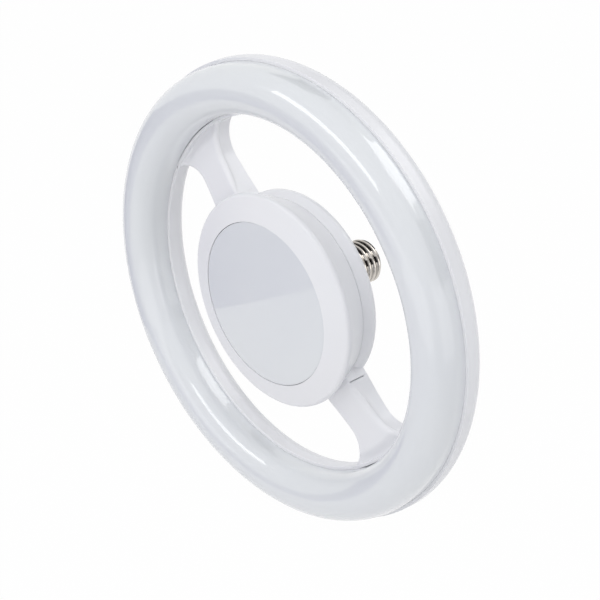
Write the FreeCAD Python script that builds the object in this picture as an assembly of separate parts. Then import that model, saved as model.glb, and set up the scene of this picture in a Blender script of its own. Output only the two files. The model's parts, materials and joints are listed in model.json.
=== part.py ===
import FreeCAD, Part
import math
import os

# Ring-shaped LED lamp with a round centre light and an Edison screw cap.
# Millimetres. The lamp's axis is Y: the lights face -Y, the cap points along +Y, +Z is up.
# All places along the axis are first given from the plane where the ring is widest.
# The finished solids are moved so that the origin is the centre of the cap's rim.

# Ring
ring_radius = 119.0          # centre line of the glowing tube
base_half = 16.0             # half width of the ring's base at its widest
lip_half = 15.7              # half width of the base at its front lip
lip_round = 0.45             # rounding of that lip
base_depth = 12.0            # depth of the base's rounded back, as an ellipse
base_back = 11.2             # where that back is cut flat
base_wall = 2.0
seam_y = -4.8                # front lip of the base, where the diffuser leaves it
tube_half = 13.8             # half width of the ring diffuser
tube_front = -23.9           # crown of the ring diffuser
tube_wall = 1.6
skirt_depth = 3.5            # how far the diffuser's edges reach into the base
bead = 0.35                  # snap bead on the diffuser's edges
bead_inset = 1.2             # the bead's distance from those edges
slip = 0.1                   # clearance where one moulding enters another

# Ring boards
board_thick = 1.2
ring_board_half = 10.0
ring_board_y = 1.0           # front face of the ring's boards
board_count = 4
board_gap = 3.0              # space between neighbouring boards
rib_place = 7.6              # ribs that carry the boards, from the tube's centre line
rib_wide = 1.4
leds_per_board = 24
led_wide = 2.8
led_long = 3.5
led_high = 0.8
screws_per_board = 2
board_screw_inset = 6.4      # the screws lie this far inside the tube's centre line

# Arms
arm_angle = 137.8            # upper arm, from +X towards +Z, seen from the front
arm_half = 12.3
arm_front_hub = -8.3         # front face of an arm beside the hub
ramp_past = 4.0              # the front face's slope ends this far into the flare
ramp_bend = 10.0             # soft bend at that end
arm_back = 6.0
arm_wall = 2.0
arm_edge = 1.6               # rounding of the arm's front edges
foot_round_most = 18.0       # radius of the flare where a long enough arm meets the ring
foot_sink = 3.0              # the flare ends this far before the ring's inside
arm_end = 61.5               # seam between an arm and the hub's socket
arm_seam = 0.6               # open joint at that seam
tongue_end = 48.0            # inner end of the tongue that enters the hub
tongue_half = 10.1
tongue_front = -6.0
tongue_back = 3.8
tongue_wall = 1.8
cover_thick = 1.6
cover_step = 1.0             # width of the ledge that carries the back cover
foot_gap = 0.35              # groove between an arm's foot and the diffuser
foot_gap_deep = 2.4
foot_gap_half = 24.0
wire_slot_half = 4.0

# Hub front
disc_radius = 47.6           # edge of the centre diffuser
disc_slip = 0.25
disc_seam_y = -21.75         # front edge of the bezel's opening
disc_crown = -23.3           # middle of the centre diffuser
disc_edge_step = 0.35        # how far the disc's edge lies behind the bezel's
disc_wall = 1.8
flange_radius = 50.3
flange_y = -18.9
flange_thick = 1.6
bezel_corner = 63.3          # corner of the bezel before rounding
bezel_corner_y = -17.3
bezel_round = 2.4
bezel_inner = 59.4           # inside corner between bezel and band
bezel_inner_y = -15.9
waist = 55.8                 # rear edge of the hub's front shell
split_gap = 0.12             # half of the groove between the two shells
split_round = 0.25           # rounding of that groove's edges
socket_gap = 0.03            # half of the tight joint between the halves of a socket
hub_wall = 2.2
grip_front = -11.7           # pads that press on the arms' tongues

# Hub back
flank = 58.3
flank_start = 4.6
shoulder_y = 8.9
shoulder_round = 3.8
dome_edge = (52.0, 9.6)
dome_bend = (35.0, 17.0)
neck_foot = (19.0, 28.5)
neck_radius = 15.2
neck_start = 33.5
neck_bore = 12.8
core_radius = 11.5           # plastic core that the cap is fixed on
core_long = 9.0
core_bore = 9.3
spigot_long = 2.4            # ring that centres the shells on each other
vent_count = 16
vent_inner = 21.5
vent_outer = 28.5
vent_half = 1.1

# Hub boards
hub_board_radius = 53.0
hub_board_y = -13.2          # front face of the centre light's board
hub_led_circles = 3          # circles of lights around the middle one
hub_led_step = 6             # each circle has this many more than the one inside it
hub_led_margin = 8.6         # from the outermost circle to the diffuser's edge
hub_boss_place = 50.5
hub_boss_count = 3
driver_radius = 39.0
driver_y = 4.4               # front face of the driver's board
driver_thick = 1.6
post_place = 34.0
post_radius = 3.0

# Screws
screw_radius = 1.5
screw_head = 2.8
screw_head_high = 1.6
screw_seat = 6.5             # seat of the hub screws' heads
hub_screw_s = 53.6           # hub screws, along each arm
hub_screw_t = 6.0            # and to both sides of its middle
small_screw = 1.1
small_head = 2.1
small_head_high = 1.2

# Screw cap
rim_y = 38.0                 # open rim of the cap, against the neck
rim_radius = 13.15
rim_long = 2.4
thread_radius = 13.1         # crest of the thread
thread_depth = 1.0
thread_pitch = 3.629
thread_crests = 5
last_crest_y = 56.5
cap_wall = 0.5
cap_end_y = 59.2
cap_end_radius = 9.9
insulator_end_y = 61.4
contact_radius = 4.8
contact_end_y = 62.5

lead_radius = 0.8
lead_apart = 2.4

V = FreeCAD.Vector
AXIS = V(0, 1, 0)
board_screw_place = ring_radius - board_screw_inset
arm_room = ring_radius - base_half - foot_sink - arm_end
foot_round = min(foot_round_most, 0.6 * arm_room)
foot_start = arm_end + arm_room - foot_round
ramp_end = foot_start + ramp_past
cover_end = foot_start + foot_round - 1.0
arm_angles = (arm_angle, arm_angle + 180.0)


def in_section(r, y):
    """A point of a section through the axis: radius and place along the axis."""
    return V(r, y, 0)


def in_plan(s, t):
    """A point seen along the axis, before an arm is turned to its angle."""
    return V(s, 0, t)


def outline(points, place):
    """Closed outline of straight lines; each point is (a, b) or (a, b, corner radius)."""
    corners = [place(p[0], p[1]) for p in points]
    radii = [p[2] if len(p) > 2 else 0.0 for p in points]
    starts = []
    ends = []
    arcs = []
    for i, corner in enumerate(corners):
        back = (corners[i - 1] - corner).normalize()
        ahead = (corners[(i + 1) % len(corners)] - corner).normalize()
        half = back.getAngle(ahead) / 2
        reach = radii[i] / math.tan(half)
        starts.append(corner + back * reach)
        ends.append(corner + ahead * reach)
        if radii[i] > 0:
            middle = (back + ahead).normalize()
            centre = corner + middle * (radii[i] / math.sin(half))
            arcs.append(Part.Arc(starts[i], centre - middle * radii[i], ends[i]).toShape())
    edges = list(arcs)
    for i, corner in enumerate(corners):
        follow = starts[(i + 1) % len(corners)]
        if ends[i].distanceToPoint(follow) > 1e-6:
            edges.append(Part.LineSegment(ends[i], follow).toShape())
    return Part.Wire(Part.__sortEdges__(edges))


def turned(points):
    """Solid of revolution about the lamp's axis."""
    face = Part.Face(outline(points, in_section))
    return face.revolve(V(0, 0, 0), AXIS, 360)


def plate(points, low, high):
    """Flat outline in plan, made into a plate from one place on the axis to another."""
    face = Part.Face(outline(points, in_plan))
    face.translate(V(0, low, 0))
    return face.extrude(V(0, high - low, 0))


def block(s0, s1, half, low, high):
    return plate([(s0, -half), (s1, -half), (s1, half), (s0, half)], low, high)


def rod(radius, low, high, s=0.0, t=0.0):
    return Part.makeCylinder(radius, high - low, V(s, low, t), AXIS)


def tube_piece(outer, inner, low, high):
    return rod(outer, low, high).cut(rod(inner, low, high))


def swung(shape, angle):
    """Turn a shape anticlockwise, seen from the lamp's front."""
    copy = shape.copy()
    copy.rotate(V(0, 0, 0), V(0, -1, 0), angle)
    return copy


def on_arms(shape):
    return [swung(shape, angle) for angle in arm_angles]


def fused(shapes):
    shapes = list(shapes)
    return shapes[0].multiFuse(shapes[1:]).removeSplitter()


def save(name, shape):
    """Write one named piece, with the origin moved to the cap's rim."""
    moved = shape.copy()
    moved.translate(V(0, -rim_y, 0))
    moved.exportStep("parts/" + name + ".step")
    print(name, len(moved.Solids), "solid", round(moved.Volume / 1000, 2), "cm3", moved.isValid())


# Ring base and arms, one moulding
def base_section(half, front_half, depth, back, front):
    """Section of the ring's base: straight sides, an elliptic back and a flat along it."""
    flat = half * math.sqrt(1 - (back / depth) ** 2)
    ellipse = Part.Ellipse(V(ring_radius, 0, 0), half, depth)
    turn = math.asin(back / depth)
    outer_arc = Part.Arc(ellipse, 0, turn).toShape()
    inner_arc = Part.Arc(ellipse, math.pi - turn, math.pi).toShape()
    lines = [
        Part.LineSegment(V(ring_radius + flat, back, 0), V(ring_radius - flat, back, 0)),
        Part.LineSegment(V(ring_radius - half, 0, 0), V(ring_radius - front_half, front, 0)),
        Part.LineSegment(V(ring_radius - front_half, front, 0), V(ring_radius + front_half, front, 0)),
        Part.LineSegment(V(ring_radius + front_half, front, 0), V(ring_radius + half, 0, 0)),
    ]
    edges = [outer_arc, inner_arc] + [line.toShape() for line in lines]
    face = Part.Face(Part.Wire(Part.__sortEdges__(edges)))
    return face.revolve(V(0, 0, 0), AXIS, 360)


channel_half = tube_half + slip
floor_y = base_back - base_wall


def arm_outline(half, start, grow):
    """Plan of an arm: parallel sides that flare into the ring with round corners."""
    sides = half + foot_round - grow
    return [
        (start, -half),
        (foot_start + foot_round - grow, -half, foot_round - grow),
        (foot_start + foot_round - grow, -sides - 6),
        (ring_radius - 4, -sides - 6),
        (ring_radius - 4, sides + 6),
        (foot_start + foot_round - grow, sides + 6),
        (foot_start + foot_round - grow, half, foot_round - grow),
        (start, half),
    ]


def above_ramp(offset, deep):
    """Everything in front of an arm's sloping front face, moved back by an offset."""
    far = ring_radius
    points = [
        (0, arm_front_hub - deep),
        (far, arm_front_hub - deep),
        (far, seam_y + offset),
        (ramp_end, seam_y + offset, ramp_bend),
        (arm_end, arm_front_hub + offset),
        (0, arm_front_hub + offset),
    ]
    face = Part.Face(outline(points, in_section))
    face.translate(V(0, 0, -far))
    return face.extrude(V(0, 0, 2 * far))


def long_front_edges(solid):
    """The arm's front edges along both sides, up to where they enter the ring."""
    found = []
    for edge in solid.Edges:
        box = edge.BoundBox
        front = box.YMax < seam_y + 0.01
        side = box.ZMin > arm_half - 0.01 or box.ZMax < -arm_half + 0.01
        along = box.XLength > 0.01 and box.XMax < foot_start + foot_round + 0.1
        if front and side and along:
            found.append(edge)
    return found


def arm_body():
    body = plate(arm_outline(arm_half, arm_end, 0.0), arm_front_hub - 1, arm_back)
    body = body.cut(above_ramp(0.0, 5))
    return body.makeFillet(arm_edge, long_front_edges(body))


def arm_hollow():
    """Wire channel of an arm, open at the back, with a ledge for its cover."""
    half = arm_half - arm_wall
    start = arm_end + arm_wall
    channel = block(start, cover_end, half, arm_front_hub, arm_back + 1)
    channel = channel.cut(above_ramp(arm_wall + 0.2, 5))
    seat = block(start, cover_end, half + cover_step, arm_back - cover_thick, arm_back + 1)
    return channel.fuse(seat)


def tongue():
    """Inner end of an arm, which the two shells of the hub clamp."""
    outer = block(tongue_end, arm_end + 1, tongue_half, tongue_front, tongue_back)
    inner_half = tongue_half - tongue_wall
    inner = block(tongue_end - 1, arm_end + 2, inner_half, tongue_front + tongue_wall, tongue_back + 1)
    solid = outer.cut(inner)
    for side in (-1, 1):
        solid = solid.fuse(rod(screw_head, tongue_front + 0.5, tongue_back, hub_screw_s, side * hub_screw_t))
    for side in (-1, 1):
        hole = rod(screw_radius + slip, tongue_front - 1, tongue_back + 1, hub_screw_s, side * hub_screw_t)
        solid = solid.cut(hole)
    return solid


def board_angles():
    return [360.0 / board_count * i for i in range(board_count)]


def board_span():
    """Angle that one ring board covers."""
    return 360.0 / board_count - math.degrees(board_gap / ring_radius)


def board_screw_angles():
    """Places of the screws on one board, from its middle."""
    reach = board_span() / 2 - 6.0
    step = 2 * reach / (screws_per_board - 1)
    return [-reach + step * i for i in range(screws_per_board)]


def rounded_lip(solid):
    """Round the two front edges of the ring's base."""
    lip = [e for e in solid.Edges if e.BoundBox.YMax < seam_y + 0.01]
    return solid.makeFillet(lip_round, lip)


def ring_frame():
    outer = rounded_lip(base_section(base_half, lip_half, base_depth, base_back, seam_y))
    arms = on_arms(arm_body())
    solid = fused([outer] + arms)
    cavity = base_section(channel_half, channel_half, base_depth - base_wall, floor_y, seam_y - 1)
    solid = solid.cut(cavity)
    for hollow in on_arms(arm_hollow()):
        solid = solid.cut(hollow)
    for end in on_arms(tongue()):
        solid = solid.fuse(end)
    slot = block(cover_end - 2, ring_radius - tube_half + 3, wire_slot_half, seam_y + skirt_depth + 0.3, 3.0)
    joint_half = tongue_half - tongue_wall
    joint = block(arm_end - 1, arm_end + arm_wall + 1, joint_half, tongue_front + 2.2, tongue_back)
    for cut in on_arms(slot) + on_arms(joint):
        solid = solid.cut(cut)
    edge = ring_radius - channel_half
    groove = tube_piece(edge + 1, edge - foot_gap, seam_y - 1, seam_y + foot_gap_deep)
    span = block(edge - 40, edge + 2, foot_gap_half, seam_y - 2, seam_y + foot_gap_deep + 1)
    for cut in on_arms(groove.common(span)):
        solid = solid.cut(cut)
    seat = ring_board_y + board_thick
    for place in (-rib_place, rib_place):
        inner = ring_radius + place - rib_wide / 2
        solid = solid.fuse(tube_piece(inner + rib_wide, inner, seat, floor_y + 0.5))
    for start in board_angles():
        for extra in board_screw_angles():
            boss = rod(small_head + 0.7, seat, floor_y + 0.5, board_screw_place)
            solid = solid.fuse(swung(boss, start + extra))
    for start in board_angles():
        for extra in board_screw_angles():
            pilot = rod(small_screw + slip / 2, seat - 0.1, seat + 5.2, board_screw_place)
            solid = solid.cut(swung(pilot, start + extra))
    reach = bead + slip
    depth = seam_y + skirt_depth - bead_inset
    for wall, side in ((ring_radius - channel_half, -1), (ring_radius + channel_half, 1)):
        notch = [(wall, depth - reach), (wall + side * reach, depth), (wall, depth + reach)]
        solid = solid.cut(turned(notch))
    return solid.removeSplitter()


# Ring diffuser
def ring_diffuser():
    """Opal trough with a half-round crown; its edges snap into the base."""
    edge = seam_y + skirt_depth
    crown = tube_front + tube_half

    def trough(half, low):
        left = V(ring_radius - half, low, 0)
        right = V(ring_radius + half, low, 0)
        left_top = V(ring_radius - half, crown, 0)
        right_top = V(ring_radius + half, crown, 0)
        arc = Part.Arc(left_top, V(ring_radius, crown - half, 0), right_top).toShape()
        lines = [Part.LineSegment(left, left_top), Part.LineSegment(right_top, right),
                 Part.LineSegment(right, left)]
        return Part.Face(Part.Wire(Part.__sortEdges__([arc] + [line.toShape() for line in lines])))

    shell = trough(tube_half, edge).revolve(V(0, 0, 0), AXIS, 360)
    shell = shell.cut(trough(tube_half - tube_wall, edge + 1).revolve(V(0, 0, 0), AXIS, 360))
    middle = edge - bead_inset
    for wall, side in ((ring_radius - tube_half, -1), (ring_radius + tube_half, 1)):
        foot = wall - side * tube_wall / 8
        ridge = [(foot, middle - bead), (wall + side * bead, middle), (foot, middle + bead)]
        shell = shell.fuse(turned(ridge))
    return shell.removeSplitter()


# Ring boards, their lights and screws
def ring_board():
    """One curved board, with its middle on the +X side."""
    span = board_span()
    ring = Part.makeCylinder(ring_radius + ring_board_half, board_thick, V(0, ring_board_y, 0), AXIS, span)
    hole = rod(ring_radius - ring_board_half, ring_board_y - 1, ring_board_y + board_thick + 1)
    board = swung(ring.cut(hole), board_start(ring))
    for extra in board_screw_angles():
        bore = rod(small_screw + slip, ring_board_y - 1, ring_board_y + board_thick + 1, board_screw_place)
        board = board.cut(swung(bore, extra))
    return board


def board_start(wedge):
    """Turn that brings a wedge's middle onto +X."""
    middle = wedge.CenterOfMass
    return -math.degrees(math.atan2(middle.z, middle.x))


def led(s):
    """One square light package on a board's front, at a radius."""
    corner = V(s - led_wide / 2, ring_board_y - led_high, -led_long / 2)
    return Part.makeBox(led_wide, led_high, led_long, corner)


def ring_leds():
    step = board_span() / leds_per_board
    lights = []
    for start in board_angles():
        for i in range(leds_per_board):
            lights.append(swung(led(ring_radius), start + (i + 0.5) * step - board_span() / 2))
    return Part.makeCompound(lights)


def small_screw_at(s, head_y, long):
    """Small slotted screw whose head lies in front of a board, pointing along +Y."""
    head = rod(small_head, head_y - small_head_high, head_y, s)
    slot = Part.makeBox(3 * small_head, 0.5, 0.5, V(s - 1.5 * small_head, head_y - small_head_high, -0.25))
    return head.cut(slot).fuse(rod(small_screw, head_y, head_y + long, s))


def ring_board_screws():
    screws = []
    for start in board_angles():
        for extra in board_screw_angles():
            screws.append(swung(small_screw_at(board_screw_place, ring_board_y, 5.0), start + extra))
    return Part.makeCompound(screws)


def board_links():
    """Soldered bridges between neighbouring boards, two at each gap but the last."""
    links = []
    for start in board_angles()[:-1]:
        for place in (-5.0, 5.0):
            link = rod(0.5, ring_board_y - 0.5, ring_board_y, ring_radius + place, 0)
            bridge = Part.makeBox(1.0, 0.5, board_gap + 4.0,
                                  V(ring_radius + place - 0.5, ring_board_y - 0.5, -board_gap / 2 - 2.0))
            links.append(swung(bridge.fuse(link), start + 180.0 / board_count))
    return Part.makeCompound(links)


# Arm covers
def arm_cover():
    """Strip that closes the wire channel at the back, with two ribs inside."""
    half = arm_half - arm_wall + cover_step - slip
    strip = block(arm_end + arm_wall + slip, cover_end - slip, half, arm_back - cover_thick, arm_back)
    corners = [e for e in strip.Edges if e.BoundBox.YLength < 0.01 and e.BoundBox.YMax > arm_back - 0.01]
    strip = strip.makeFillet(0.4, corners)
    rib = block(arm_end + 6, cover_end - 8, arm_half - arm_wall - slip, arm_back - cover_thick - 2.0,
                arm_back - cover_thick)
    rib = rib.cut(block(arm_end, cover_end, arm_half - arm_wall - 1.2, -30, 30))
    return strip.fuse(rib).removeSplitter()


# Hub front shell with its bezel
def along_front(edge, front):
    """True for a block's long edges on its front face."""
    box = edge.BoundBox
    return box.XLength > 1 and box.YMax < front + 0.01


def hub_boss_angle(i):
    """The board's screws sit between the arms."""
    return arm_angle + 90.0 + 360.0 / hub_boss_count * i


def hub_front_room():
    """Space inside the front shell, behind its bezel."""
    inner = waist - hub_wall
    seat = flange_radius + disc_slip
    return turned([
        (0, -split_gap + 1),
        (inner, -split_gap + 1),
        (inner, -split_gap),
        (bezel_inner, bezel_inner_y, 1.5),
        (seat, flange_y + 0.5),
        (seat, flange_y - slip),
        (0, flange_y - slip),
    ])


def hub_front():
    opening = disc_radius + disc_slip
    body = turned([
        (0, disc_seam_y),
        (opening, disc_seam_y),
        (bezel_corner, bezel_corner_y, bezel_round),
        (waist, -split_gap, split_round),
        (0, -split_gap),
    ])
    sleeve = block(tongue_end, arm_end - arm_seam, arm_half, arm_front_hub, -socket_gap)
    sleeve = sleeve.makeFillet(arm_edge, [e for e in sleeve.Edges if along_front(e, arm_front_hub)])
    body = fused([body] + on_arms(sleeve))
    room = hub_front_room()
    shell = body.cut(room).cut(rod(opening, disc_seam_y - 1, flange_y))
    extras = []
    grip = block(hub_screw_s - 4.5, arm_end - 3, arm_half, grip_front, tongue_front - slip)
    extras += on_arms(grip.common(room))
    for i in range(hub_boss_count):
        boss = rod(small_head + 0.3, hub_board_y - 3.4, hub_board_y, hub_boss_place)
        web = block(hub_boss_place, bezel_inner + 0.8, 1.0, hub_board_y - 2.6, hub_board_y - 0.6)
        extras.append(swung(boss.fuse(web), hub_boss_angle(i)))
    shell = fused([shell] + extras)
    mouth = block(tongue_end - 8, arm_end + 1, tongue_half + slip, tongue_front - slip, 1)
    cuts = on_arms(mouth)
    for side in (-1, 1):
        pilot = rod(screw_radius + slip / 2, grip_front + 0.6, 1, hub_screw_s, side * hub_screw_t)
        cuts += on_arms(pilot)
    for i in range(hub_boss_count):
        pilot = rod(small_screw + slip / 2, hub_board_y - 4, hub_board_y + 1, hub_boss_place)
        cuts.append(swung(pilot, hub_boss_angle(i)))
    for cut in cuts:
        shell = shell.cut(cut)
    return shell.removeSplitter()


# Centre diffuser
def dome_arc(edge_radius, edge_y, crown_y):
    """Shallow arc from the axis to an edge."""
    rise = edge_y - crown_y
    dome_radius = (edge_radius ** 2 + rise ** 2) / (2 * rise)
    turn = math.asin(edge_radius / dome_radius) / 2
    middle = V(dome_radius * math.sin(turn), crown_y + dome_radius * (1 - math.cos(turn)), 0)
    return Part.Arc(V(0, crown_y, 0), middle, V(edge_radius, edge_y, 0)).toShape()


def hub_diffuser():
    """Slightly domed opal disc; a flange behind the bezel holds it, a skirt carries it."""
    edge_y = disc_seam_y + disc_edge_step
    inner = disc_radius - disc_wall
    rim = [(disc_radius, edge_y), (disc_radius, flange_y), (flange_radius, flange_y),
           (flange_radius, flange_y + flange_thick), (disc_radius, flange_y + flange_thick),
           (disc_radius, hub_board_y - slip), (inner, hub_board_y - slip), (inner, edge_y + disc_wall)]
    edges = [Part.LineSegment(V(a[0], a[1], 0), V(b[0], b[1], 0)).toShape() for a, b in zip(rim, rim[1:])]
    edges.append(dome_arc(disc_radius, edge_y, disc_crown))
    edges.append(dome_arc(inner, edge_y + disc_wall, disc_crown + disc_wall))
    edges.append(Part.LineSegment(V(0, disc_crown, 0), V(0, disc_crown + disc_wall, 0)).toShape())
    disc = Part.Face(Part.Wire(Part.__sortEdges__(edges))).revolve(V(0, 0, 0), AXIS, 360)
    return disc


# Centre light board
def hub_board():
    board = rod(hub_board_radius, hub_board_y, hub_board_y + board_thick)
    for i in range(hub_boss_count):
        bore = rod(small_screw + slip, hub_board_y - 1, hub_board_y + 3, hub_boss_place)
        board = board.cut(swung(bore, hub_boss_angle(i)))
    return board


def hub_leds():
    package = led(0.0)
    package.translate(V(0, hub_board_y - ring_board_y, 0))
    lights = [package]
    for circle in range(1, hub_led_circles + 1):
        count = hub_led_step * circle
        radius = (disc_radius - hub_led_margin) * circle / hub_led_circles
        for i in range(count):
            package = led(radius)
            package.translate(V(0, hub_board_y - ring_board_y, 0))
            lights.append(swung(package, 360.0 / count * i))
    return Part.makeCompound(lights)


def hub_board_screws():
    """Screws from behind the board into the front shell."""
    screws = []
    for i in range(hub_boss_count):
        screw = small_screw_at(hub_boss_place, 0.0, 4.0).mirror(V(0, 0, 0), AXIS)
        screw.translate(V(0, hub_board_y + board_thick, 0))
        screws.append(swung(screw, hub_boss_angle(i)))
    return Part.makeCompound(screws)


# Hub back shell with its neck
def hub_back_room():
    """Space inside the back shell, up through the neck and the core."""
    inner = flank - hub_wall - 0.2
    back = hub_wall * 1.15
    return turned([
        (0, split_gap - 1),
        (waist - hub_wall, split_gap - 1),
        (waist - hub_wall, split_gap),
        (inner, flank_start + 0.4, 2.0),
        (inner, shoulder_y - hub_wall, 1.6),
        (dome_edge[0] - 0.4, dome_edge[1] - back, 5.0),
        (dome_bend[0] - 0.8, dome_bend[1] - back, 40.0),
        (neck_foot[0] - 1.4, neck_foot[1] - back, 10.0),
        (neck_bore, neck_start - 1.0, 4.0),
        (neck_bore, rim_y - hub_wall),
        (core_bore, rim_y - hub_wall),
        (core_bore, rim_y + core_long + 1),
        (0, rim_y + core_long + 1),
    ])


def hub_back():
    body = turned([
        (0, split_gap),
        (waist, split_gap, split_round),
        (flank, flank_start, 2.5),
        (flank, shoulder_y, shoulder_round),
        (dome_edge[0], dome_edge[1], 6.0),
        (dome_bend[0], dome_bend[1], 45.0),
        (neck_foot[0], neck_foot[1], 12.0),
        (neck_radius, neck_start, 8.0),
        (neck_radius, rim_y, 0.5),
        (core_radius, rim_y),
        (core_radius, rim_y + core_long, 0.5),
        (0, rim_y + core_long),
    ])
    sleeve = block(tongue_end, arm_end - arm_seam, arm_half, socket_gap, arm_back)
    body = fused([body] + on_arms(sleeve))
    room = hub_back_room()
    shell = body.cut(room)
    spigot = waist - hub_wall - 0.2
    extras = [tube_piece(spigot, spigot - 1.6, -split_gap - spigot_long, split_gap + 1.2)]
    collar = tube_piece(waist - 0.8, spigot - 1.6, split_gap, split_gap + 1.2)
    extras.append(collar)
    for side in (-1, 1):
        boss = rod(screw_head + 1.4, tongue_back + slip, shoulder_y, hub_screw_s, side * hub_screw_t)
        extras += on_arms(boss.common(room))
    for i in range(3):
        post = rod(post_radius, driver_y + driver_thick, dome_bend[1] + 2, post_place)
        extras.append(swung(post, post_angle(i)).common(body))
    shell = fused([shell] + extras)
    mouth = block(tongue_end - 2, arm_end + 1, tongue_half + slip, -10, tongue_back + slip)
    cuts = on_arms(mouth)
    for side in (-1, 1):
        hole = rod(screw_radius + 0.2, 0, screw_seat + 1, hub_screw_s, side * hub_screw_t)
        well = rod(screw_head + 0.3, screw_seat, shoulder_y + 5, hub_screw_s, side * hub_screw_t)
        cuts += on_arms(hole) + on_arms(well)
    for i in range(3):
        pilot = rod(small_screw + slip / 2, driver_y, driver_y + driver_thick + 5, post_place)
        cuts.append(swung(pilot, post_angle(i)))
    slot = block(vent_inner, vent_outer, vent_half, dome_bend[1] - 6, rim_y)
    for s in (vent_inner, vent_outer):
        slot = slot.fuse(rod(vent_half, dome_bend[1] - 6, rim_y, s))
    for i in range(vent_count):
        cuts.append(swung(slot, 360.0 / vent_count * i))
    for cut in cuts:
        shell = shell.cut(cut)
    return shell.removeSplitter()


def post_angle(i):
    return 30.0 + 120.0 * i


def hub_screws():
    """Four screws that clamp the arms' tongues between the two shells."""
    screws = []
    for side in (-1, 1):
        head = rod(screw_head, screw_seat, screw_seat + screw_head_high, hub_screw_s, side * hub_screw_t)
        for turn in (0.0, 90.0):
            slot = Part.makeBox(3.4, 1.0, 0.9, V(-1.7, 0, -0.45))
            slot.rotate(V(0, 0, 0), AXIS, turn)
            slot.translate(V(hub_screw_s, screw_seat + screw_head_high - 0.9, side * hub_screw_t))
            head = head.cut(slot)
        shank = rod(screw_radius, grip_front + 1.2, screw_seat, hub_screw_s, side * hub_screw_t)
        screws += on_arms(head.fuse(shank))
    return Part.makeCompound(screws)


# Driver
parts_y = driver_y + driver_thick


def driver_board():
    board = rod(driver_radius, driver_y, parts_y)
    for i in range(3):
        bore = rod(small_screw + slip, driver_y - 1, parts_y + 1, post_place)
        board = board.cut(swung(bore, post_angle(i)))
    return board


def driver_screws():
    screws = [swung(small_screw_at(post_place, driver_y, 5.4), post_angle(i)) for i in range(3)]
    return Part.makeCompound(screws)


def brick(x, z, wide, long, low, high):
    """Box with its middle at x, z, on the driver's board."""
    return Part.makeBox(wide, high - low, long, V(x - wide / 2, low, z - long / 2))


def can(x, z, radius, high):
    """Upright capacitor with a groove near its foot."""
    low = parts_y
    shape = turned([(0, low), (radius, low, 0.3), (radius, low + 1.4), (radius - 0.4, low + 1.8),
                    (radius, low + 2.2), (radius, low + high, 0.5), (0, low + high)])
    shape.translate(V(x, 0, z))
    return shape


choke_radius = 4.0
choke_high = 9.2
choke_z = -22.0
transformer_x = -13.0
transformer_z = 3.0
transformer_wide = 17.0
transformer_high = 13.0
core_thick = 5.0
core_leg = 4.4
core_yoke = 2.6
window_wide = 3.8


def transformer_core():
    top = parts_y + transformer_high
    core = brick(transformer_x, transformer_z, transformer_wide, core_thick, parts_y, top)
    for side in (-1, 1):
        x = transformer_x + side * (core_leg + window_wide) / 2
        window = brick(x, transformer_z, window_wide, core_thick + 2, parts_y + core_yoke, top - core_yoke)
        core = core.cut(window)
    return core


def transformer_winding():
    """Wound bobbin around the core's middle leg."""
    low = parts_y + core_yoke + slip
    high = parts_y + transformer_high - core_yoke - slip
    long = core_thick + 2 * window_wide - 0.6
    coil = brick(transformer_x, transformer_z, core_leg + 2 * window_wide - 0.4, long, low, high)
    coil = coil.makeFillet(1.6, [e for e in coil.Edges if e.BoundBox.YLength > 1])
    room = 2 * slip
    leg = brick(transformer_x, transformer_z, core_leg + room, core_thick + room, low - 1, high + 1)
    return coil.cut(leg)


def bridge_rectifier():
    x, z = 25.5, 8.0
    body = brick(x, z, 6.5, 8.0, parts_y + 0.3, parts_y + 3.4)
    legs = [brick(x + a, z + b, 0.6, 1.6, parts_y, parts_y + 1.8) for a in (-2.5, 2.5) for b in (-4.4, 4.4)]
    return fused([body] + legs)


def driver_chip():
    x, z = -27.0, -8.0
    body = brick(x, z, 3.9, 4.9, parts_y + 0.2, parts_y + 1.7)
    legs = [brick(x + a, z + b, 1.4, 0.4, parts_y, parts_y + 0.8)
            for a in (-2.4, 2.4) for b in (-1.905, -0.635, 0.635, 1.905)]
    return fused([body] + legs)


def fuse_resistor():
    """Axial part lying on the board with both wires bent down."""
    x, z, y = 25.0, -9.0, parts_y + 2.0
    body = Part.makeCylinder(1.7, 9.0, V(x, y, z - 4.5), V(0, 0, 1))
    wire = Part.makeCylinder(0.35, 13.0, V(x, y, z - 6.5), V(0, 0, 1))
    legs = [Part.makeCylinder(0.3, 2.0, V(x, parts_y, z + side * 6.1), AXIS) for side in (-1, 1)]
    return fused([body, wire] + legs)


def choke():
    """Drum-shaped coil in its sleeve."""
    rim = choke_radius
    waist_in = choke_radius - 0.5
    low = parts_y
    top = parts_y + choke_high
    shape = turned([(0, low), (rim, low), (rim, low + 1.4), (waist_in, low + 1.8), (waist_in, top - 1.8),
                    (rim, top - 1.4), (rim, top, 0.4), (0, top)])
    shape.translate(V(0, 0, choke_z))
    return shape


# Wires
def lead(points):
    """Round wire: straight runs joined by tangent arcs."""
    corners = [V(p[0], p[1], p[2]) for p in points]
    edges = []
    begin = corners[0]
    for i in range(1, len(corners) - 1):
        back = corners[i - 1] - corners[i]
        ahead = corners[i + 1] - corners[i]
        reach = 0.4 * min(back.Length, ahead.Length, 12.0)
        back.normalize()
        ahead.normalize()
        half = back.getAngle(ahead) / 2
        bend = reach * math.tan(half)
        middle = (back + ahead).normalize()
        top = corners[i] + middle * (bend / math.sin(half) - bend)
        first = corners[i] + back * reach
        last = corners[i] + ahead * reach
        edges.append(Part.LineSegment(begin, first).toShape())
        edges.append(Part.Arc(first, top, last).toShape())
        begin = last
    edges.append(Part.LineSegment(begin, corners[-1]).toShape())
    start = Part.Wire(Part.makeCircle(lead_radius, corners[0], corners[1] - corners[0]).Edges)
    return Part.Wire(edges).makePipeShell([start], True, True)


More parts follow.
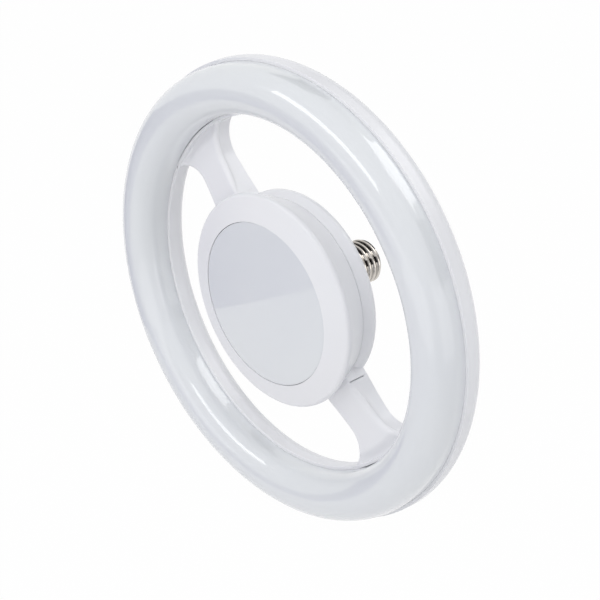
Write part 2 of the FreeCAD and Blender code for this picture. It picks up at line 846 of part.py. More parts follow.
def ring_lead(side):
    """Wire from the driver through the lower arm onto the ring's first board."""
    t = side * lead_apart / 2
    y = ring_board_y - lead_radius
    end = ring_radius - ring_board_half + 2.5
    wire = lead([(driver_radius - 6, driver_y, t), (driver_radius - 6, y, t), (end, y, t)])
    return swung(wire, arm_angles[1])


def hub_board_leads():
    start = hub_board_y + board_thick
    wires = [rod(lead_radius, start, driver_y, 8.0, side * lead_apart) for side in (-1, 1)]
    return Part.makeCompound(wires)


def live_lead():
    return lead([(3.5, parts_y, 2.0), (3.5, 24.0, 2.0), (0, rim_y, 0), (0, insulator_end_y, 0)])


def neutral_lead():
    wall = thread_radius - thread_depth - cap_wall - lead_radius
    top = last_crest_y - 1
    bore = core_bore - 2 * lead_radius
    return lead([(3.5, parts_y, -4.0), (3.5, 24.0, -4.0), (bore, rim_y, 0), (bore, rim_y + core_long + 1, 0),
                 (wall, top - 4, 0), (wall, top, 0)])


# Screw cap
def cap_shell():
    """Rolled metal shell; its thread is drawn here as level rings at the thread's pitch."""
    root = thread_radius - thread_depth
    points = [(rim_radius, rim_y), (rim_radius, rim_y + rim_long), (root, rim_y + rim_long + 0.4)]
    for i in range(thread_crests):
        crest = last_crest_y - (thread_crests - 1 - i) * thread_pitch
        points += [(root, crest - 0.28 * thread_pitch), (thread_radius, crest - 0.12 * thread_pitch),
                   (thread_radius, crest + 0.12 * thread_pitch), (root, crest + 0.28 * thread_pitch)]
    points += [(root, last_crest_y + 0.35 * thread_pitch), (cap_end_radius, cap_end_y)]
    inner = root - cap_wall
    points += [(cap_end_radius - cap_wall, cap_end_y), (inner, last_crest_y + 0.3 * thread_pitch),
               (inner, rim_y)]
    return turned(points)


def cap_insulator():
    """Glass plug with a hole for the middle wire."""
    fit = cap_end_radius - cap_wall - slip
    hole = lead_radius + 0.1
    return turned([(hole, cap_end_y - 0.9), (fit, cap_end_y - 0.9), (fit, cap_end_y + 0.3),
                   (contact_radius + 0.6, insulator_end_y), (hole, insulator_end_y)])


def centre_contact():
    return turned([(0, insulator_end_y), (contact_radius, insulator_end_y),
                   (contact_radius, contact_end_y, 0.5), (0, contact_end_y)])


single_pieces = {
    "ring_frame": ring_frame,
    "ring_diffuser": ring_diffuser,
    "ring_leds": ring_leds,
    "ring_board_screws": ring_board_screws,
    "ring_board_links": board_links,
    "hub_front": hub_front,
    "hub_diffuser": hub_diffuser,
    "hub_board": hub_board,
    "hub_leds": hub_leds,
    "hub_board_screws": hub_board_screws,
    "hub_board_leads": hub_board_leads,
    "hub_back": hub_back,
    "hub_screws": hub_screws,
    "driver_board": driver_board,
    "driver_screws": driver_screws,
    "transformer_core": transformer_core,
    "transformer_winding": transformer_winding,
    "bridge_rectifier": bridge_rectifier,
    "driver_chip": driver_chip,
    "fuse_resistor": fuse_resistor,
    "choke": choke,
    "live_lead": live_lead,
    "neutral_lead": neutral_lead,
    "cap_shell": cap_shell,
    "cap_insulator": cap_insulator,
    "centre_contact": centre_contact,
}

os.makedirs("parts", exist_ok=True)
for name, build in single_pieces.items():
    save(name, build())
for i, angle in enumerate(board_angles()):
    save("ring_board_%d" % (i + 1), swung(ring_board(), angle))
for name, angle in zip(("upper_arm_cover", "lower_arm_cover"), arm_angles):
    save(name, swung(arm_cover(), angle))
for name, side in (("ring_lead_positive", -1), ("ring_lead_negative", 1)):
    save(name, ring_lead(side))
save("input_capacitor", can(12.0, 13.0, 5.0, 14.0))
save("output_capacitor", can(13.5, -7.0, 4.0, 11.0))
save("film_capacitor", brick(-1.0, 22.0, 13.0, 5.5, parts_y, parts_y + 10.0))
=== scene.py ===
# %% [markdown]
# # A ring-shaped LED lamp
# The lamp is nearly all glossy white plastic: a round opal tube, a centre light with a bezel,
# and two flat arms between them. Only the screw cap is metal. White on white lives from soft
# reflections and thin shadow lines, so the main shapes are turned on a fine lathe instead of
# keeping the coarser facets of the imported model.

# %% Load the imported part
import bpy
import bmesh
import json
import math
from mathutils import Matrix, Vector


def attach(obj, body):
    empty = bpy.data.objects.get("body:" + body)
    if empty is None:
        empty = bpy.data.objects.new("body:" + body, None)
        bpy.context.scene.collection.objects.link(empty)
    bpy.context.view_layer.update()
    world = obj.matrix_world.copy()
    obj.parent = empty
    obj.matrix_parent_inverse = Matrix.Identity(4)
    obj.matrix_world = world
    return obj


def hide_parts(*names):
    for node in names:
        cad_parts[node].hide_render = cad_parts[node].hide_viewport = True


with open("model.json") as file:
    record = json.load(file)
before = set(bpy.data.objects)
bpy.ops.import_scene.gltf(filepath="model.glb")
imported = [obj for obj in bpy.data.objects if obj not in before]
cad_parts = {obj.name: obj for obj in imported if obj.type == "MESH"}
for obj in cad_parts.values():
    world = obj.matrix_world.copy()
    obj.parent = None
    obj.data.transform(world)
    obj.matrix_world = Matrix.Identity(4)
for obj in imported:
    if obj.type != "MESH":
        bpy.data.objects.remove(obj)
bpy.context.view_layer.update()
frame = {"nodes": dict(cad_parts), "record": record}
nodes = frame["nodes"]
scene = bpy.context.scene
print("packed nodes:", len(nodes))

# %% [markdown]
# ## The camera
# The photograph looks at the lamp from its right and from above. Three values say where the
# camera stands: the turn around the lamp, the height angle and the distance. The lens keeps
# the picture's perspective, and a very small shift puts the ring where it is in the frame.

# %% Camera
MM = 0.001
RIM_Y = 38.0                 # the cap's rim, which is the origin, seen from the ring's plane
CAMERA_TURN = 47.16          # degrees from the lamp's front towards +X
CAMERA_RISE = 28.41          # degrees above the lamp's axis
CAMERA_DISTANCE = 0.9025
ring_middle = Vector((0, -RIM_Y * MM, 0))


def towards(turn, rise):
    """Direction from the ring to a place in the studio; both angles in degrees."""
    turn, rise = math.radians(turn), math.radians(rise)
    return Vector((math.sin(turn) * math.cos(rise), -math.cos(turn) * math.cos(rise), math.sin(rise)))


def placed(name, data, turn, rise, distance):
    """Camera or lamp that looks at the ring from a distance."""
    away = towards(turn, rise)
    made = bpy.data.objects.new(name, data)
    made.location = ring_middle + away * distance
    made.rotation_euler = away.to_track_quat("Z", "Y").to_euler()
    scene.collection.objects.link(made)
    return made


lens = bpy.data.cameras.new("camera")
lens.sensor_width = 36
lens.lens = 96.93
lens.shift_x = 0.0122
lens.shift_y = -0.0134
lens.clip_end = 50
scene.camera = placed("camera", lens, CAMERA_TURN, CAMERA_RISE, CAMERA_DISTANCE)
print("camera at", [round(v, 3) for v in scene.camera.location])

# %% [markdown]
# ## Short words for nodes
# Every finish, and every shape that repeats, is a tree of nodes. Written out, a node takes a
# line to make it and one more for each input. These helpers make a node, set what it needs and
# hand back the output, so that a tree reads like a formula.


# %% Helpers for node trees
def feed(tree, socket, value):
    """Link a socket to another one or to a list of them, or set its own value."""
    for source in value if isinstance(value, list) else [value]:
        if isinstance(source, bpy.types.NodeSocket):
            tree.links.new(source, socket)
        else:
            socket.default_value = source


def node_of(tree, kind, values, result=0, **settings):
    """New node with its settings and inputs; returns one of its outputs."""
    node = tree.nodes.new(kind)
    for name, value in settings.items():
        setattr(node, name, value)
    for name, value in values.items():
        feed(tree, node.inputs[name], value)
    return node.outputs[result]


def math_of(tree, operation, *values, clamp=False):
    return node_of(tree, "ShaderNodeMath", dict(enumerate(values)), operation=operation, use_clamp=clamp)


def vector_of(tree, x, y, z):
    return node_of(tree, "ShaderNodeCombineXYZ", {"X": x, "Y": y, "Z": z})


def tinted(tree, share, first, second):
    """Blend of two colours."""
    return node_of(tree, "ShaderNodeMix", {"Factor": share, "A": first, "B": second}, "Result",
                   data_type="RGBA")


def new_material(name):
    """Empty node material; returns the material, its tree and its Principled BSDF."""
    material = bpy.data.materials.new(name)
    material.use_nodes = True
    tree = material.node_tree
    tree.nodes.clear()
    shader = tree.nodes.new("ShaderNodeBsdfPrincipled")
    tree.links.new(shader.outputs["BSDF"], tree.nodes.new("ShaderNodeOutputMaterial").inputs["Surface"])
    return material, tree, shader


print("node helpers ready")

# %% [markdown]
# ## Floor and backdrop
# The photograph is a cut-out on pure white. Here the floor and the world are white to the
# camera and in reflections, while the lamps and a dimmer world light the object, so its pale
# plastic keeps soft greys. The floor lies well below the lamp and keeps the lamp's shadow.

# %% White room and floor
WHITE = (1, 1, 1, 1)
ROOM_COLOUR = (0.95, 0.97, 1.0, 1)
ROOM_LIGHT = 0.53
FLOOR_DROP = 0.55            # floor below the lamp's axis
FLOOR_REACH = 6.0
FLOOR_COLOUR = (0.8, 0.8, 0.8)
FLOOR_WHITE = 0.985          # the rest of what is seen of the floor holds the lamp's shadow
MATT = 0.9
scene.view_settings.view_transform = "Standard"


def seen_directly(tree):
    """1 for camera, mirror and glass rays, else 0."""
    path = tree.nodes.new("ShaderNodeLightPath").outputs
    seen = math_of(tree, "MAXIMUM", path["Is Camera Ray"], path["Is Glossy Ray"])
    return math_of(tree, "MAXIMUM", seen, path["Is Transmission Ray"])


def floor_share(tree):
    return math_of(tree, "MULTIPLY", seen_directly(tree), FLOOR_WHITE)


def camera_share(tree):
    return tree.nodes.new("ShaderNodeLightPath").outputs["Is Camera Ray"]


def studio_sheet(name, corners, colour, white_share):
    """Flat matt sheet in the studio that shows a share of plain white instead of its colour."""
    mesh = bpy.data.meshes.new(name)
    mesh.from_pydata(corners, [], [(0, 1, 2, 3)])
    sheet = bpy.data.objects.new(name, mesh)
    scene.collection.objects.link(sheet)
    paint, tree, shader = new_material(name + "_paint")
    shader.inputs["Base Color"].default_value = (*colour, 1)
    shader.inputs["Roughness"].default_value = MATT
    white = node_of(tree, "ShaderNodeEmission", {"Color": WHITE, "Strength": 1.0})
    surface = shader.outputs["BSDF"].links[0].to_socket
    feed(tree, surface, node_of(tree, "ShaderNodeMixShader", {
        0: white_share(tree), 1: shader.outputs["BSDF"], 2: white}))
    mesh.materials.append(paint)


world = bpy.data.worlds.new("white_room")
scene.world = world
world.use_nodes = True
room = world.node_tree
room.nodes.clear()
room_light, room_seen = (node_of(room, "ShaderNodeBackground", {"Color": colour, "Strength": strength})
                         for colour, strength in ((ROOM_COLOUR, ROOM_LIGHT), (WHITE, 1.0)))
feed(room, room.nodes.new("ShaderNodeOutputWorld").inputs["Surface"],
     node_of(room, "ShaderNodeMixShader", {0: seen_directly(room), 1: room_light, 2: room_seen}))
quarters = ((-1, -1), (1, -1), (1, 1), (-1, 1))
studio_sheet("floor", [(x * FLOOR_REACH, y * FLOOR_REACH, -FLOOR_DROP) for x, y in quarters],
             FLOOR_COLOUR, floor_share)
print("floor at", -FLOOR_DROP)

# %% [markdown]
# ## Sheets for the reflections
# Gloss shows what stands around it, so sheets are placed beside glossy things. A violet one on
# the floor at the left is mirrored in the centre disc: its edge is the line between a bluish
# upper part and a lighter lower part. Two black flags behind the lamp darken the thread of the
# cap. To the camera all three are as white as the room.

# %% Violet sheet and black flags
SHEET_COLOUR = (0.27, 0.25, 0.46)
SHEET_EDGE = ((-0.07, -5.50), (-0.84, -0.20))    # its right edge, as x and y
SHEET_LEFT = -5.5
SHEET_HEIGHT = 0.004         # above the floor
FLAG_COLOUR = (0.01, 0.01, 0.011)
FLAG_DISTANCE = 0.95         # from the lamp's axis
FLAG_DEPTHS = (0.25, 1.60)   # along the lamp's axis, behind the cap

sheet_corners = [(SHEET_LEFT, SHEET_EDGE[0][1]), *SHEET_EDGE, (SHEET_LEFT, SHEET_EDGE[1][1])]
studio_sheet("violet_sheet", [(x, y, SHEET_HEIGHT - FLOOR_DROP) for x, y in sheet_corners],
             SHEET_COLOUR, camera_share)


def dark_flag(name, turn, across):
    """Black sheet behind the lamp; turn in degrees from +X towards +Z."""
    turn = math.radians(turn)
    middle = Vector((math.cos(turn), 0, math.sin(turn))) * FLAG_DISTANCE
    side = Vector((-math.sin(turn), 0, math.cos(turn))) * (across / 2)
    near, far = (Vector((0, depth, 0)) for depth in FLAG_DEPTHS)
    ends = [middle - side, middle + side]
    studio_sheet(name, [end + near for end in ends] + [end + far for end in ends[::-1]],
                 FLAG_COLOUR, camera_share)


dark_flag("right_flag", 28.0, 0.50)
dark_flag("left_flag", 124.0, 0.36)
print("a sheet at the left and two flags behind")

# %% [markdown]
# ## Studio lamps
# Highlights on the tube are mirror images of soft boxes. A long narrow box gives the crisp
# streaks, and one behind the lamp gives the broad patch at its upper right. The large fills
# give no clear image of themselves: they only set how bright each side is, so they are big,
# dim and near to the direction from which their side is seen.


# %% Studio lamps
def softbox(name, turn, rise, distance, size, watts, colour=(1.0, 1.0, 1.0)):
    """Rectangular lamp that looks at the ring."""
    lamp = bpy.data.lights.new(name, "AREA")
    lamp.shape = "RECTANGLE"
    lamp.size, lamp.size_y = size
    lamp.energy = watts
    lamp.color = colour
    placed(name, lamp, turn, rise, distance)


softbox("streak_box", -15, 43, 1.5, (1.5, 0.32), 6.6, (1.0, 0.99, 0.98))
softbox("rear_box", 150, 50, 1.5, (0.75, 0.65), 4.8)
softbox("low_fill", 5, -8, 1.6, (2.2, 0.9), 4.6, (1.0, 0.98, 0.97))
softbox("right_fill", 95, 0, 1.6, (1.4, 0.9), 3.4, (1.0, 0.98, 0.98))
softbox("camera_fill", 50, 26, 1.9, (2.6, 2.6), 3.9)
softbox("top_fill", 60, 85, 1.8, (2.4, 2.4), 2.2)

# %% [markdown]
# ## Shared surface effects
# Moulded plastic is never one flat colour. Slow clouds shift its tint by a hair, and a very
# fine grain from the mould breaks up the gloss. Metal is rubbed round its axis instead. Several
# finishes need each effect with its own values, so they are node groups that give out colours,
# roughness and height.


# %% Groups for moulded plastic and for rubbed metal
def new_group(name, inputs, outputs):
    """Node group; an input's default value says whether it is a number or a colour."""
    group = bpy.data.node_groups.new(name, "ShaderNodeTree")
    for socket, value in inputs.items():
        kind = "NodeSocketFloat" if isinstance(value, float) else "NodeSocketColor"
        group.interface.new_socket(socket, in_out="INPUT", socket_type=kind).default_value = value
    for socket in outputs:
        kind = "NodeSocketColor" if socket == "Colour" else "NodeSocketFloat"
        group.interface.new_socket(socket, in_out="OUTPUT", socket_type=kind)
    return group, group.nodes.new("NodeGroupInput").outputs, group.nodes.new("NodeGroupOutput").inputs


def object_place(tree):
    return tree.nodes.new("ShaderNodeTexCoord").outputs["Object"]


def noise_of(tree, place, scale, detail, rough=0.5):
    return node_of(tree, "ShaderNodeTexNoise", {
        "Vector": place, "Scale": scale, "Detail": detail, "Roughness": rough}, "Fac")


def ranged(tree, value, low, high, from_low=0.35, from_high=0.65):
    """A value stretched from the noise's usual span to a new one."""
    return node_of(tree, "ShaderNodeMapRange", {
        "Value": value, "From Min": from_low, "From Max": from_high, "To Min": low, "To Max": high}, "Result")


def moulding_group():
    """Clouds in the tint, and a fine grain that changes the gloss and the height."""
    group, given, result = new_group(
        "moulded_surface",
        {"Colour": (0.8, 0.8, 0.8, 1), "Cloud Colour": (0.7, 0.7, 0.7, 1), "Cloud Scale": 14.0,
         "Grain Scale": 2400.0, "Roughness Low": 0.2, "Roughness High": 0.3},
        ("Colour", "Roughness", "Height"))
    clouds = noise_of(group, object_place(group), given["Cloud Scale"], 3.0)
    grain = noise_of(group, object_place(group), given["Grain Scale"], 2.0, 0.6)
    wander = math_of(group, "MULTIPLY", noise_of(group, object_place(group), 60.0, 2.0), 0.6)
    uneven = math_of(group, "MULTIPLY_ADD", grain, 0.4, wander)
    feed(group, result["Colour"],
         tinted(group, ranged(group, clouds, 0.0, 1.0), given["Colour"], given["Cloud Colour"]))
    feed(group, result["Roughness"], ranged(group, uneven, given["Roughness Low"], given["Roughness High"]))
    feed(group, result["Height"], grain)
    return group


def rubbing_group():
    """Fine rubbing marks that run round the lamp's axis, for metal."""
    group, given, result = new_group("rubbed_marks", {"Scale": 900.0, "Stretch": 12.0}, ("Mask",))
    squeezed = node_of(group, "ShaderNodeVectorMath", {
        0: object_place(group), 1: vector_of(group, 1.0, given["Stretch"], 1.0)}, operation="MULTIPLY")
    marks = noise_of(group, squeezed, given["Scale"], 4.0)
    feed(group, result["Mask"], ranged(group, marks, 0.0, 1.0, 0.4, 0.7))
    return group


MOULDED = moulding_group()
RUBBED = rubbing_group()
print("groups:", MOULDED.name, RUBBED.name)

# %% [markdown]
# ## White housing and opal plastic
# The housing is white plastic with a faint blue in its shade. The covers over the lights are
# milky: light goes in, scatters and comes out beside its place. Subsurface scattering does
# that, and a clear coat that is smoother than the plastic below gives the wet look and the
# crisp streaks of the tube's skin.

# %% Plastics
PLASTIC_IOR = 1.35           # low, because the coat carries the clear reflections
COAT_IOR = 1.5
COAT_ROUGH = 0.02
MILK_DEPTH = 0.001           # how far light wanders in the opal plastic


def moulded_skin(tree, colour, cloud, cloud_scale, grain, gloss):
    """Put the shared group into a material with its own values; returns its outputs."""
    return node_of(tree, "ShaderNodeGroup", {
        "Colour": (*colour, 1), "Cloud Colour": (*cloud, 1), "Cloud Scale": cloud_scale,
        "Grain Scale": grain, "Roughness Low": gloss[0], "Roughness High": gloss[1]},
        node_tree=MOULDED).node.outputs


def dress(tree, shader, colour, roughness, height, depth, strength=0.4):
    """Give a shader its colour, its roughness and a fine bump."""
    bump = node_of(tree, "ShaderNodeBump", {
        "Strength": strength, "Distance": depth, "Height": height}, "Normal")
    for name, value in (("Base Color", colour), ("Roughness", roughness), ("Normal", bump)):
        feed(tree, shader.inputs[name], value)


def moulded_plastic(name, colour, cloud, gloss, grain=2400.0, depth=0.00001, coat=0.0, milk=0.0):
    """Plastic with shifting tint; gloss is the span of its roughness."""
    material, tree, shader = new_material(name)
    skin = moulded_skin(tree, colour, cloud, 11.0, grain, gloss)
    dress(tree, shader, skin["Colour"], skin["Roughness"], skin["Height"], depth)
    for socket, value in (("IOR", PLASTIC_IOR), ("Coat Weight", coat), ("Coat IOR", COAT_IOR),
                          ("Coat Roughness", COAT_ROUGH), ("Subsurface Weight", milk),
                          ("Subsurface Radius", (1.0, 1.0, 1.0)), ("Subsurface Scale", MILK_DEPTH)):
        shader.inputs[socket].default_value = value
    return material


housing = moulded_plastic("white_housing", (0.87, 0.87, 0.892), (0.855, 0.86, 0.885), (0.24, 0.27))
opal = moulded_plastic("opal_plastic", (0.78, 0.80, 0.82), (0.76, 0.78, 0.81), (0.28, 0.34),
                       coat=1.0, milk=0.2)
print("plastics:", housing.name, opal.name)

# %% [markdown]
# ## Metals, glass and solder
# The cap is nickel-plated sheet, nearly a mirror. In the photograph the roots of its thread
# mirror dark things and look black, except at two heights. The flags alone are too narrow for
# that, so a painted dark reflection darkens the plating's colour near the axis, and painted
# lighter reflection takes it back in two bands of height.
# The cap's end holds a plug of black glass with the centre contact, which is tinned brass with
# a drop of solder on it.

# %% Metals, glass and solder
# painted dark reflection in the thread's roots: where it fades, its colour, and the bands where painted
# lighter reflection takes it back
PAINTED_DARK_RADII = (0.0124, 0.0130)                  # dark up to the first, plain from the second on
PAINTED_DARK_REFLECTION = (0.012, 0.011, 0.010, 1)
PAINTED_LIGHT_BANDS = ((-0.014, 0.0036, 0.6), (0.0070, 0.0096, 0.8))    # from, to, how much of the painted dark reflection is taken back


def rubbed_metal(name, colour, gloss, scale=900.0, stretch=12.0):
    """Metal whose rubbing marks are darker and duller."""
    material, tree, shader = new_material(name)
    marks = node_of(tree, "ShaderNodeGroup", {"Scale": scale, "Stretch": stretch}, "Mask", node_tree=RUBBED)
    tint = tinted(tree, marks, (*colour, 1), (*[c * 0.8 for c in colour], 1))
    dress(tree, shader, tint, ranged(tree, marks, *gloss, 0.0, 1.0), marks, 0.00001, 0.15)
    shader.inputs["Metallic"].default_value = 1.0
    return material


def paint_dark_reflections(material):
    """Paint dark reflection into a metal's colour near the lamp's axis, less in the bands of painted lighter
    reflection.
    """
    tree = material.node_tree
    shader = next(n for n in tree.nodes if n.type == "BSDF_PRINCIPLED")
    colour = shader.inputs["Base Color"].links[0].from_socket
    place = object_place(tree)
    flat = node_of(tree, "ShaderNodeVectorMath", {0: place, 1: (1, 0, 1)}, operation="MULTIPLY")
    radius = node_of(tree, "ShaderNodeVectorMath", {0: flat}, "Value", operation="LENGTH")
    height = node_of(tree, "ShaderNodeSeparateXYZ", {0: place}, "Z")
    # share of the metal's own colour; the rest is painted dark reflection
    unpainted_share = ranged(tree, radius, 0.0, 1.0, *PAINTED_DARK_RADII)
    for low, high, share in PAINTED_LIGHT_BANDS:
        inside = math_of(tree, "COMPARE", height, (low + high) / 2, (high - low) / 2)
        unpainted_share = math_of(tree, "MULTIPLY_ADD", inside, share, unpainted_share, clamp=True)
    feed(tree, shader.inputs["Base Color"], tinted(tree, unpainted_share, PAINTED_DARK_REFLECTION, colour))


nickel = rubbed_metal("nickel_plate", (0.66, 0.62, 0.57), (0.04, 0.10))
# painted dark reflections in the roots of the cap's thread, lighter in two bands
paint_dark_reflections(nickel)
brass = rubbed_metal("tinned_brass", (0.66, 0.60, 0.46), (0.2, 0.34))
steel = rubbed_metal("zinc_steel", (0.52, 0.53, 0.55), (0.22, 0.4), 1500.0, 1.0)
solder = rubbed_metal("solder", (0.55, 0.56, 0.57), (0.25, 0.45), 700.0, 1.0)
cap_glass = moulded_plastic("black_glass", (0.006, 0.006, 0.008), (0.012, 0.011, 0.012), (0.05, 0.12),
                            500.0, 0.00004)
print("metals and glass:", nickel.name, brass.name, steel.name, solder.name, cap_glass.name)

# %% [markdown]
# ## Finishes of the parts inside
# The driver and the lights are hidden behind the shells, but they are real parts, so each has
# the finish of its own trade: lacquered boards with tracks, dark ferrite, yellow coil tape,
# sleeved capacitors with an aluminium top and plainly coloured wires.


# %% Finishes of the parts inside
def tracked_board(name, lacquer, track, scale):
    """Lacquered board whose copper tracks show as paler strips under the lacquer."""
    material, tree, shader = new_material(name)
    skin = moulded_skin(tree, lacquer, [c * 0.85 for c in lacquer], 40.0, 1800.0, (0.3, 0.45))
    turned = node_of(tree, "ShaderNodeMapping", {
        "Vector": object_place(tree), "Rotation": (math.radians(90), 0, 0)})
    tracks = node_of(tree, "ShaderNodeTexBrick", {
        "Vector": turned, "Scale": scale, "Mortar Size": 0.06}, "Fac")
    dress(tree, shader, tinted(tree, tracks, skin["Colour"], (*track, 1)), skin["Roughness"], tracks, 0.00003)
    return material


def capped_sleeve(name, sleeve, top_from):
    """Shrink sleeve on a capacitor, open over its aluminium top."""
    material, tree, shader = new_material(name)
    skin = moulded_skin(tree, sleeve, [c * 0.7 for c in sleeve], 90.0, 1200.0, (0.25, 0.4))
    facing = tree.nodes.new("ShaderNodeNewGeometry").outputs["True Normal"]
    top = ranged(tree, node_of(tree, "ShaderNodeSeparateXYZ", {0: facing}, "Y"), 0.0, 1.0,
                 top_from, top_from + 0.01)
    dress(tree, shader, tinted(tree, top, skin["Colour"], (0.7, 0.71, 0.72, 1)), skin["Roughness"],
          skin["Height"], 0.00002)
    feed(tree, shader.inputs["Metallic"], top)
    return material


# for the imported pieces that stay, by their slots in the record
finishes = {
    "white_housing": housing, "brass_contact": brass, "steel": steel, "solder": solder,
    "cap_glass": cap_glass,
    "led_board": tracked_board("light_board", (0.78, 0.79, 0.77), (0.70, 0.72, 0.70), 90.0),
    "circuit_board": tracked_board("driver_board", (0.05, 0.22, 0.09), (0.10, 0.32, 0.14), 150.0),
    "capacitor_sleeve": capped_sleeve("capacitor_sleeve", (0.02, 0.03, 0.06), 0.9),
}
# slot, name, two colours, span of the roughness, scale and depth of the grain
for slot, name, *values in (
        ("ferrite", "ferrite", (0.035, 0.035, 0.038), (0.05, 0.05, 0.052), (0.5, 0.7), 900.0, 0.00006),
        ("coil_tape", "coil_tape", (0.75, 0.55, 0.06), (0.62, 0.44, 0.05), (0.2, 0.35), 700.0, 0.00003),
        ("film_box", "film_box", (0.52, 0.32, 0.07), (0.46, 0.27, 0.05), (0.3, 0.4), 1500.0, 0.00002),
        ("epoxy", "black_epoxy", (0.018, 0.018, 0.02), (0.03, 0.03, 0.03), (0.45, 0.6), 2600.0, 0.00003),
        ("resistor_body", "resistor_lacquer", (0.20, 0.33, 0.22), (0.16, 0.27, 0.18), (0.3, 0.45),
         900.0, 0.00003),
        ("red_wire", "red_wire", (0.55, 0.03, 0.02), (0.42, 0.02, 0.02), (0.35, 0.45)),
        ("black_wire", "black_wire", (0.015, 0.015, 0.016), (0.03, 0.03, 0.03), (0.35, 0.5)),
        ("white_wire", "white_wire", (0.75, 0.74, 0.70), (0.68, 0.66, 0.62), (0.35, 0.45))):
    finishes[slot] = moulded_plastic(name, *values)
print("finishes:", len(finishes))

# %% [markdown]
# ## The lathe
# Nearly every outer piece is a body of revolution: a section drawn once and turned about the
# lamp's axis. The section is a closed outline in millimetres, radius first, then the place
# along the axis seen from the ring's widest plane. Corners get a third number, the radius of
# their rounding, because light catches every edge of a moulding.

# %% Outlines with rounded corners
ARC_STEP = 7.0               # degrees of arc for each facet of a rounding


def rounded(points):
    """Closed outline whose corners get the radius given as a third value."""
    path = []
    for i, point in enumerate(points):
        corner = Vector(point[:2])
        if len(point) == 2:
            path.append(tuple(corner))
            continue
        radius = point[2]
        back, ahead = ((Vector(other[:2]) - corner).normalized()
                       for other in (points[i - 1], points[(i + 1) % len(points)]))
        half = back.angle(ahead) / 2
        centre = corner + (back + ahead).normalized() * (radius / math.sin(half))
        first, last = (corner + leg * (radius / math.tan(half)) - centre for leg in (back, ahead))
        side = 1.0 if first.x * last.y - first.y * last.x > 0 else -1.0
        sweep = math.pi - 2 * half
        pieces = max(2, round(math.degrees(sweep) / ARC_STEP))
        for k in range(pieces + 1):
            turn = side * sweep * k / pieces
            path.append((centre.x + first.x * math.cos(turn) - first.y * math.sin(turn),
                         centre.y + first.x * math.sin(turn) + first.y * math.cos(turn)))
    return path


def ellipse(middle, wide, deep, start, end, pieces=28):
    """Points of an elliptic arc about a middle (radius, place); angles in degrees."""
    turns = [math.radians(start + (end - start) * k / pieces) for k in range(pieces + 1)]
    return [(middle[0] + wide * math.cos(a), middle[1] + deep * math.sin(a)) for a in turns]


def eased(value):
    """From 0 to 1 with a soft start and end."""
    value = max(0.0, min(1.0, value))
    return value * value * (3 - 2 * value)


print("arc step", ARC_STEP, "degrees")

# %% Sections turned into meshes
LATHE_STEPS = 288
MERGE = 1e-7                 # corners that are this near are one


def in_frame(r, y, turn):
    """A section's point, turned about the lamp's axis, in the frame's metres."""
    return Vector((r * math.cos(turn), y - RIM_Y, r * math.sin(turn))) * MM


def mesh_from(name, build):
    """New mesh from a function that fills a bmesh; doubles merged and faces turned outward."""
    made = bmesh.new()
    build(made)
    bmesh.ops.remove_doubles(made, verts=made.verts, dist=MERGE)
    bmesh.ops.recalc_face_normals(made, faces=made.faces)
    if made.calc_volume(signed=True) < 0:
        bmesh.ops.reverse_faces(made, faces=made.faces)
    mesh = bpy.data.meshes.new(name)
    made.to_mesh(mesh)
    made.free()
    return mesh


def band(made, here, there):
    """Faces between two closed rows of corners."""
    for k in range(len(here)):
        n = (k + 1) % len(here)
        made.faces.new((here[k], here[n], there[n], there[k]))


def lathe(name, section, steps=LATHE_STEPS):
    """Turn a closed section about the axis; section may be a function of the turn."""
    def build(made):
        rows = []
        for i in range(steps):
            turn = 2 * math.pi * i / steps
            outline = section(turn) if callable(section) else section
            rows.append([made.verts.new(in_frame(r, y, turn)) for r, y in outline])
        for i, row in enumerate(rows):
            band(made, row, rows[(i + 1) % steps])
    return mesh_from(name, build)


print("steps of the lathe:", LATHE_STEPS)

# %% [markdown]
# ## Finishing a piece
# Each mesh becomes an object at the origin that rides on the lamp's one body, takes its material
# if it is given one, and hides the imported nodes that it stands in for. Smooth shading needs
# care: normals are weighted by face area, so that a wide flat face stays flat beside a small rounding.

# %% Finish a piece
SHARP = math.radians(34)     # edges that turn more than this stay sharp


def apply_modifiers(piece):
    """Bake an object's modifiers into its mesh."""
    seen = piece.evaluated_get(bpy.context.evaluated_depsgraph_get())
    mesh = bpy.data.meshes.new_from_object(seen)
    piece.modifiers.clear()
    piece.data = mesh


def finish_piece(name, mesh, material, stands_for, weighted=True):
    """Object from a mesh, smooth up to sharp edges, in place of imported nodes."""
    piece = bpy.data.objects.new(name, mesh)
    scene.collection.objects.link(piece)
    if material:
        mesh.materials.clear()
        mesh.materials.append(material)
    mesh.shade_smooth()
    mesh.set_sharp_from_angle(angle=SHARP)
    if weighted:
        piece.modifiers.new("weigh", "WEIGHTED_NORMAL").keep_sharp = True
        apply_modifiers(piece)
    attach(piece, "root")
    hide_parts(*stands_for)
    print(name, len(piece.data.polygons), "faces")


print("sharp from", round(math.degrees(SHARP)), "degrees")

# %% [markdown]
# ## The ring's diffuser
# The glowing tube is an opal trough: two straight walls and a half-round crown, snapped into
# the base. A full torus would be quicker, but its back would be wrong and the seam where it
# enters the base would be missing.

# %% Ring diffuser
RING_RADIUS = 119.0          # centre line of the tube
TUBE_HALF = 13.8
TUBE_WALL = 1.6
TUBE_FRONT = -23.9           # crown of the tube
SEAM_Y = -4.8                # lip of the base
SKIRT = 3.5                  # how far the tube's edges reach into the base
SKIRT_ROUND = 0.3
crown_y = TUBE_FRONT + TUBE_HALF
edge_y = SEAM_Y + SKIRT
tube_inner = TUBE_HALF - TUBE_WALL


def tube_crown(half, start, end, pieces):
    return ellipse((RING_RADIUS, crown_y), half, half, start, end, pieces)


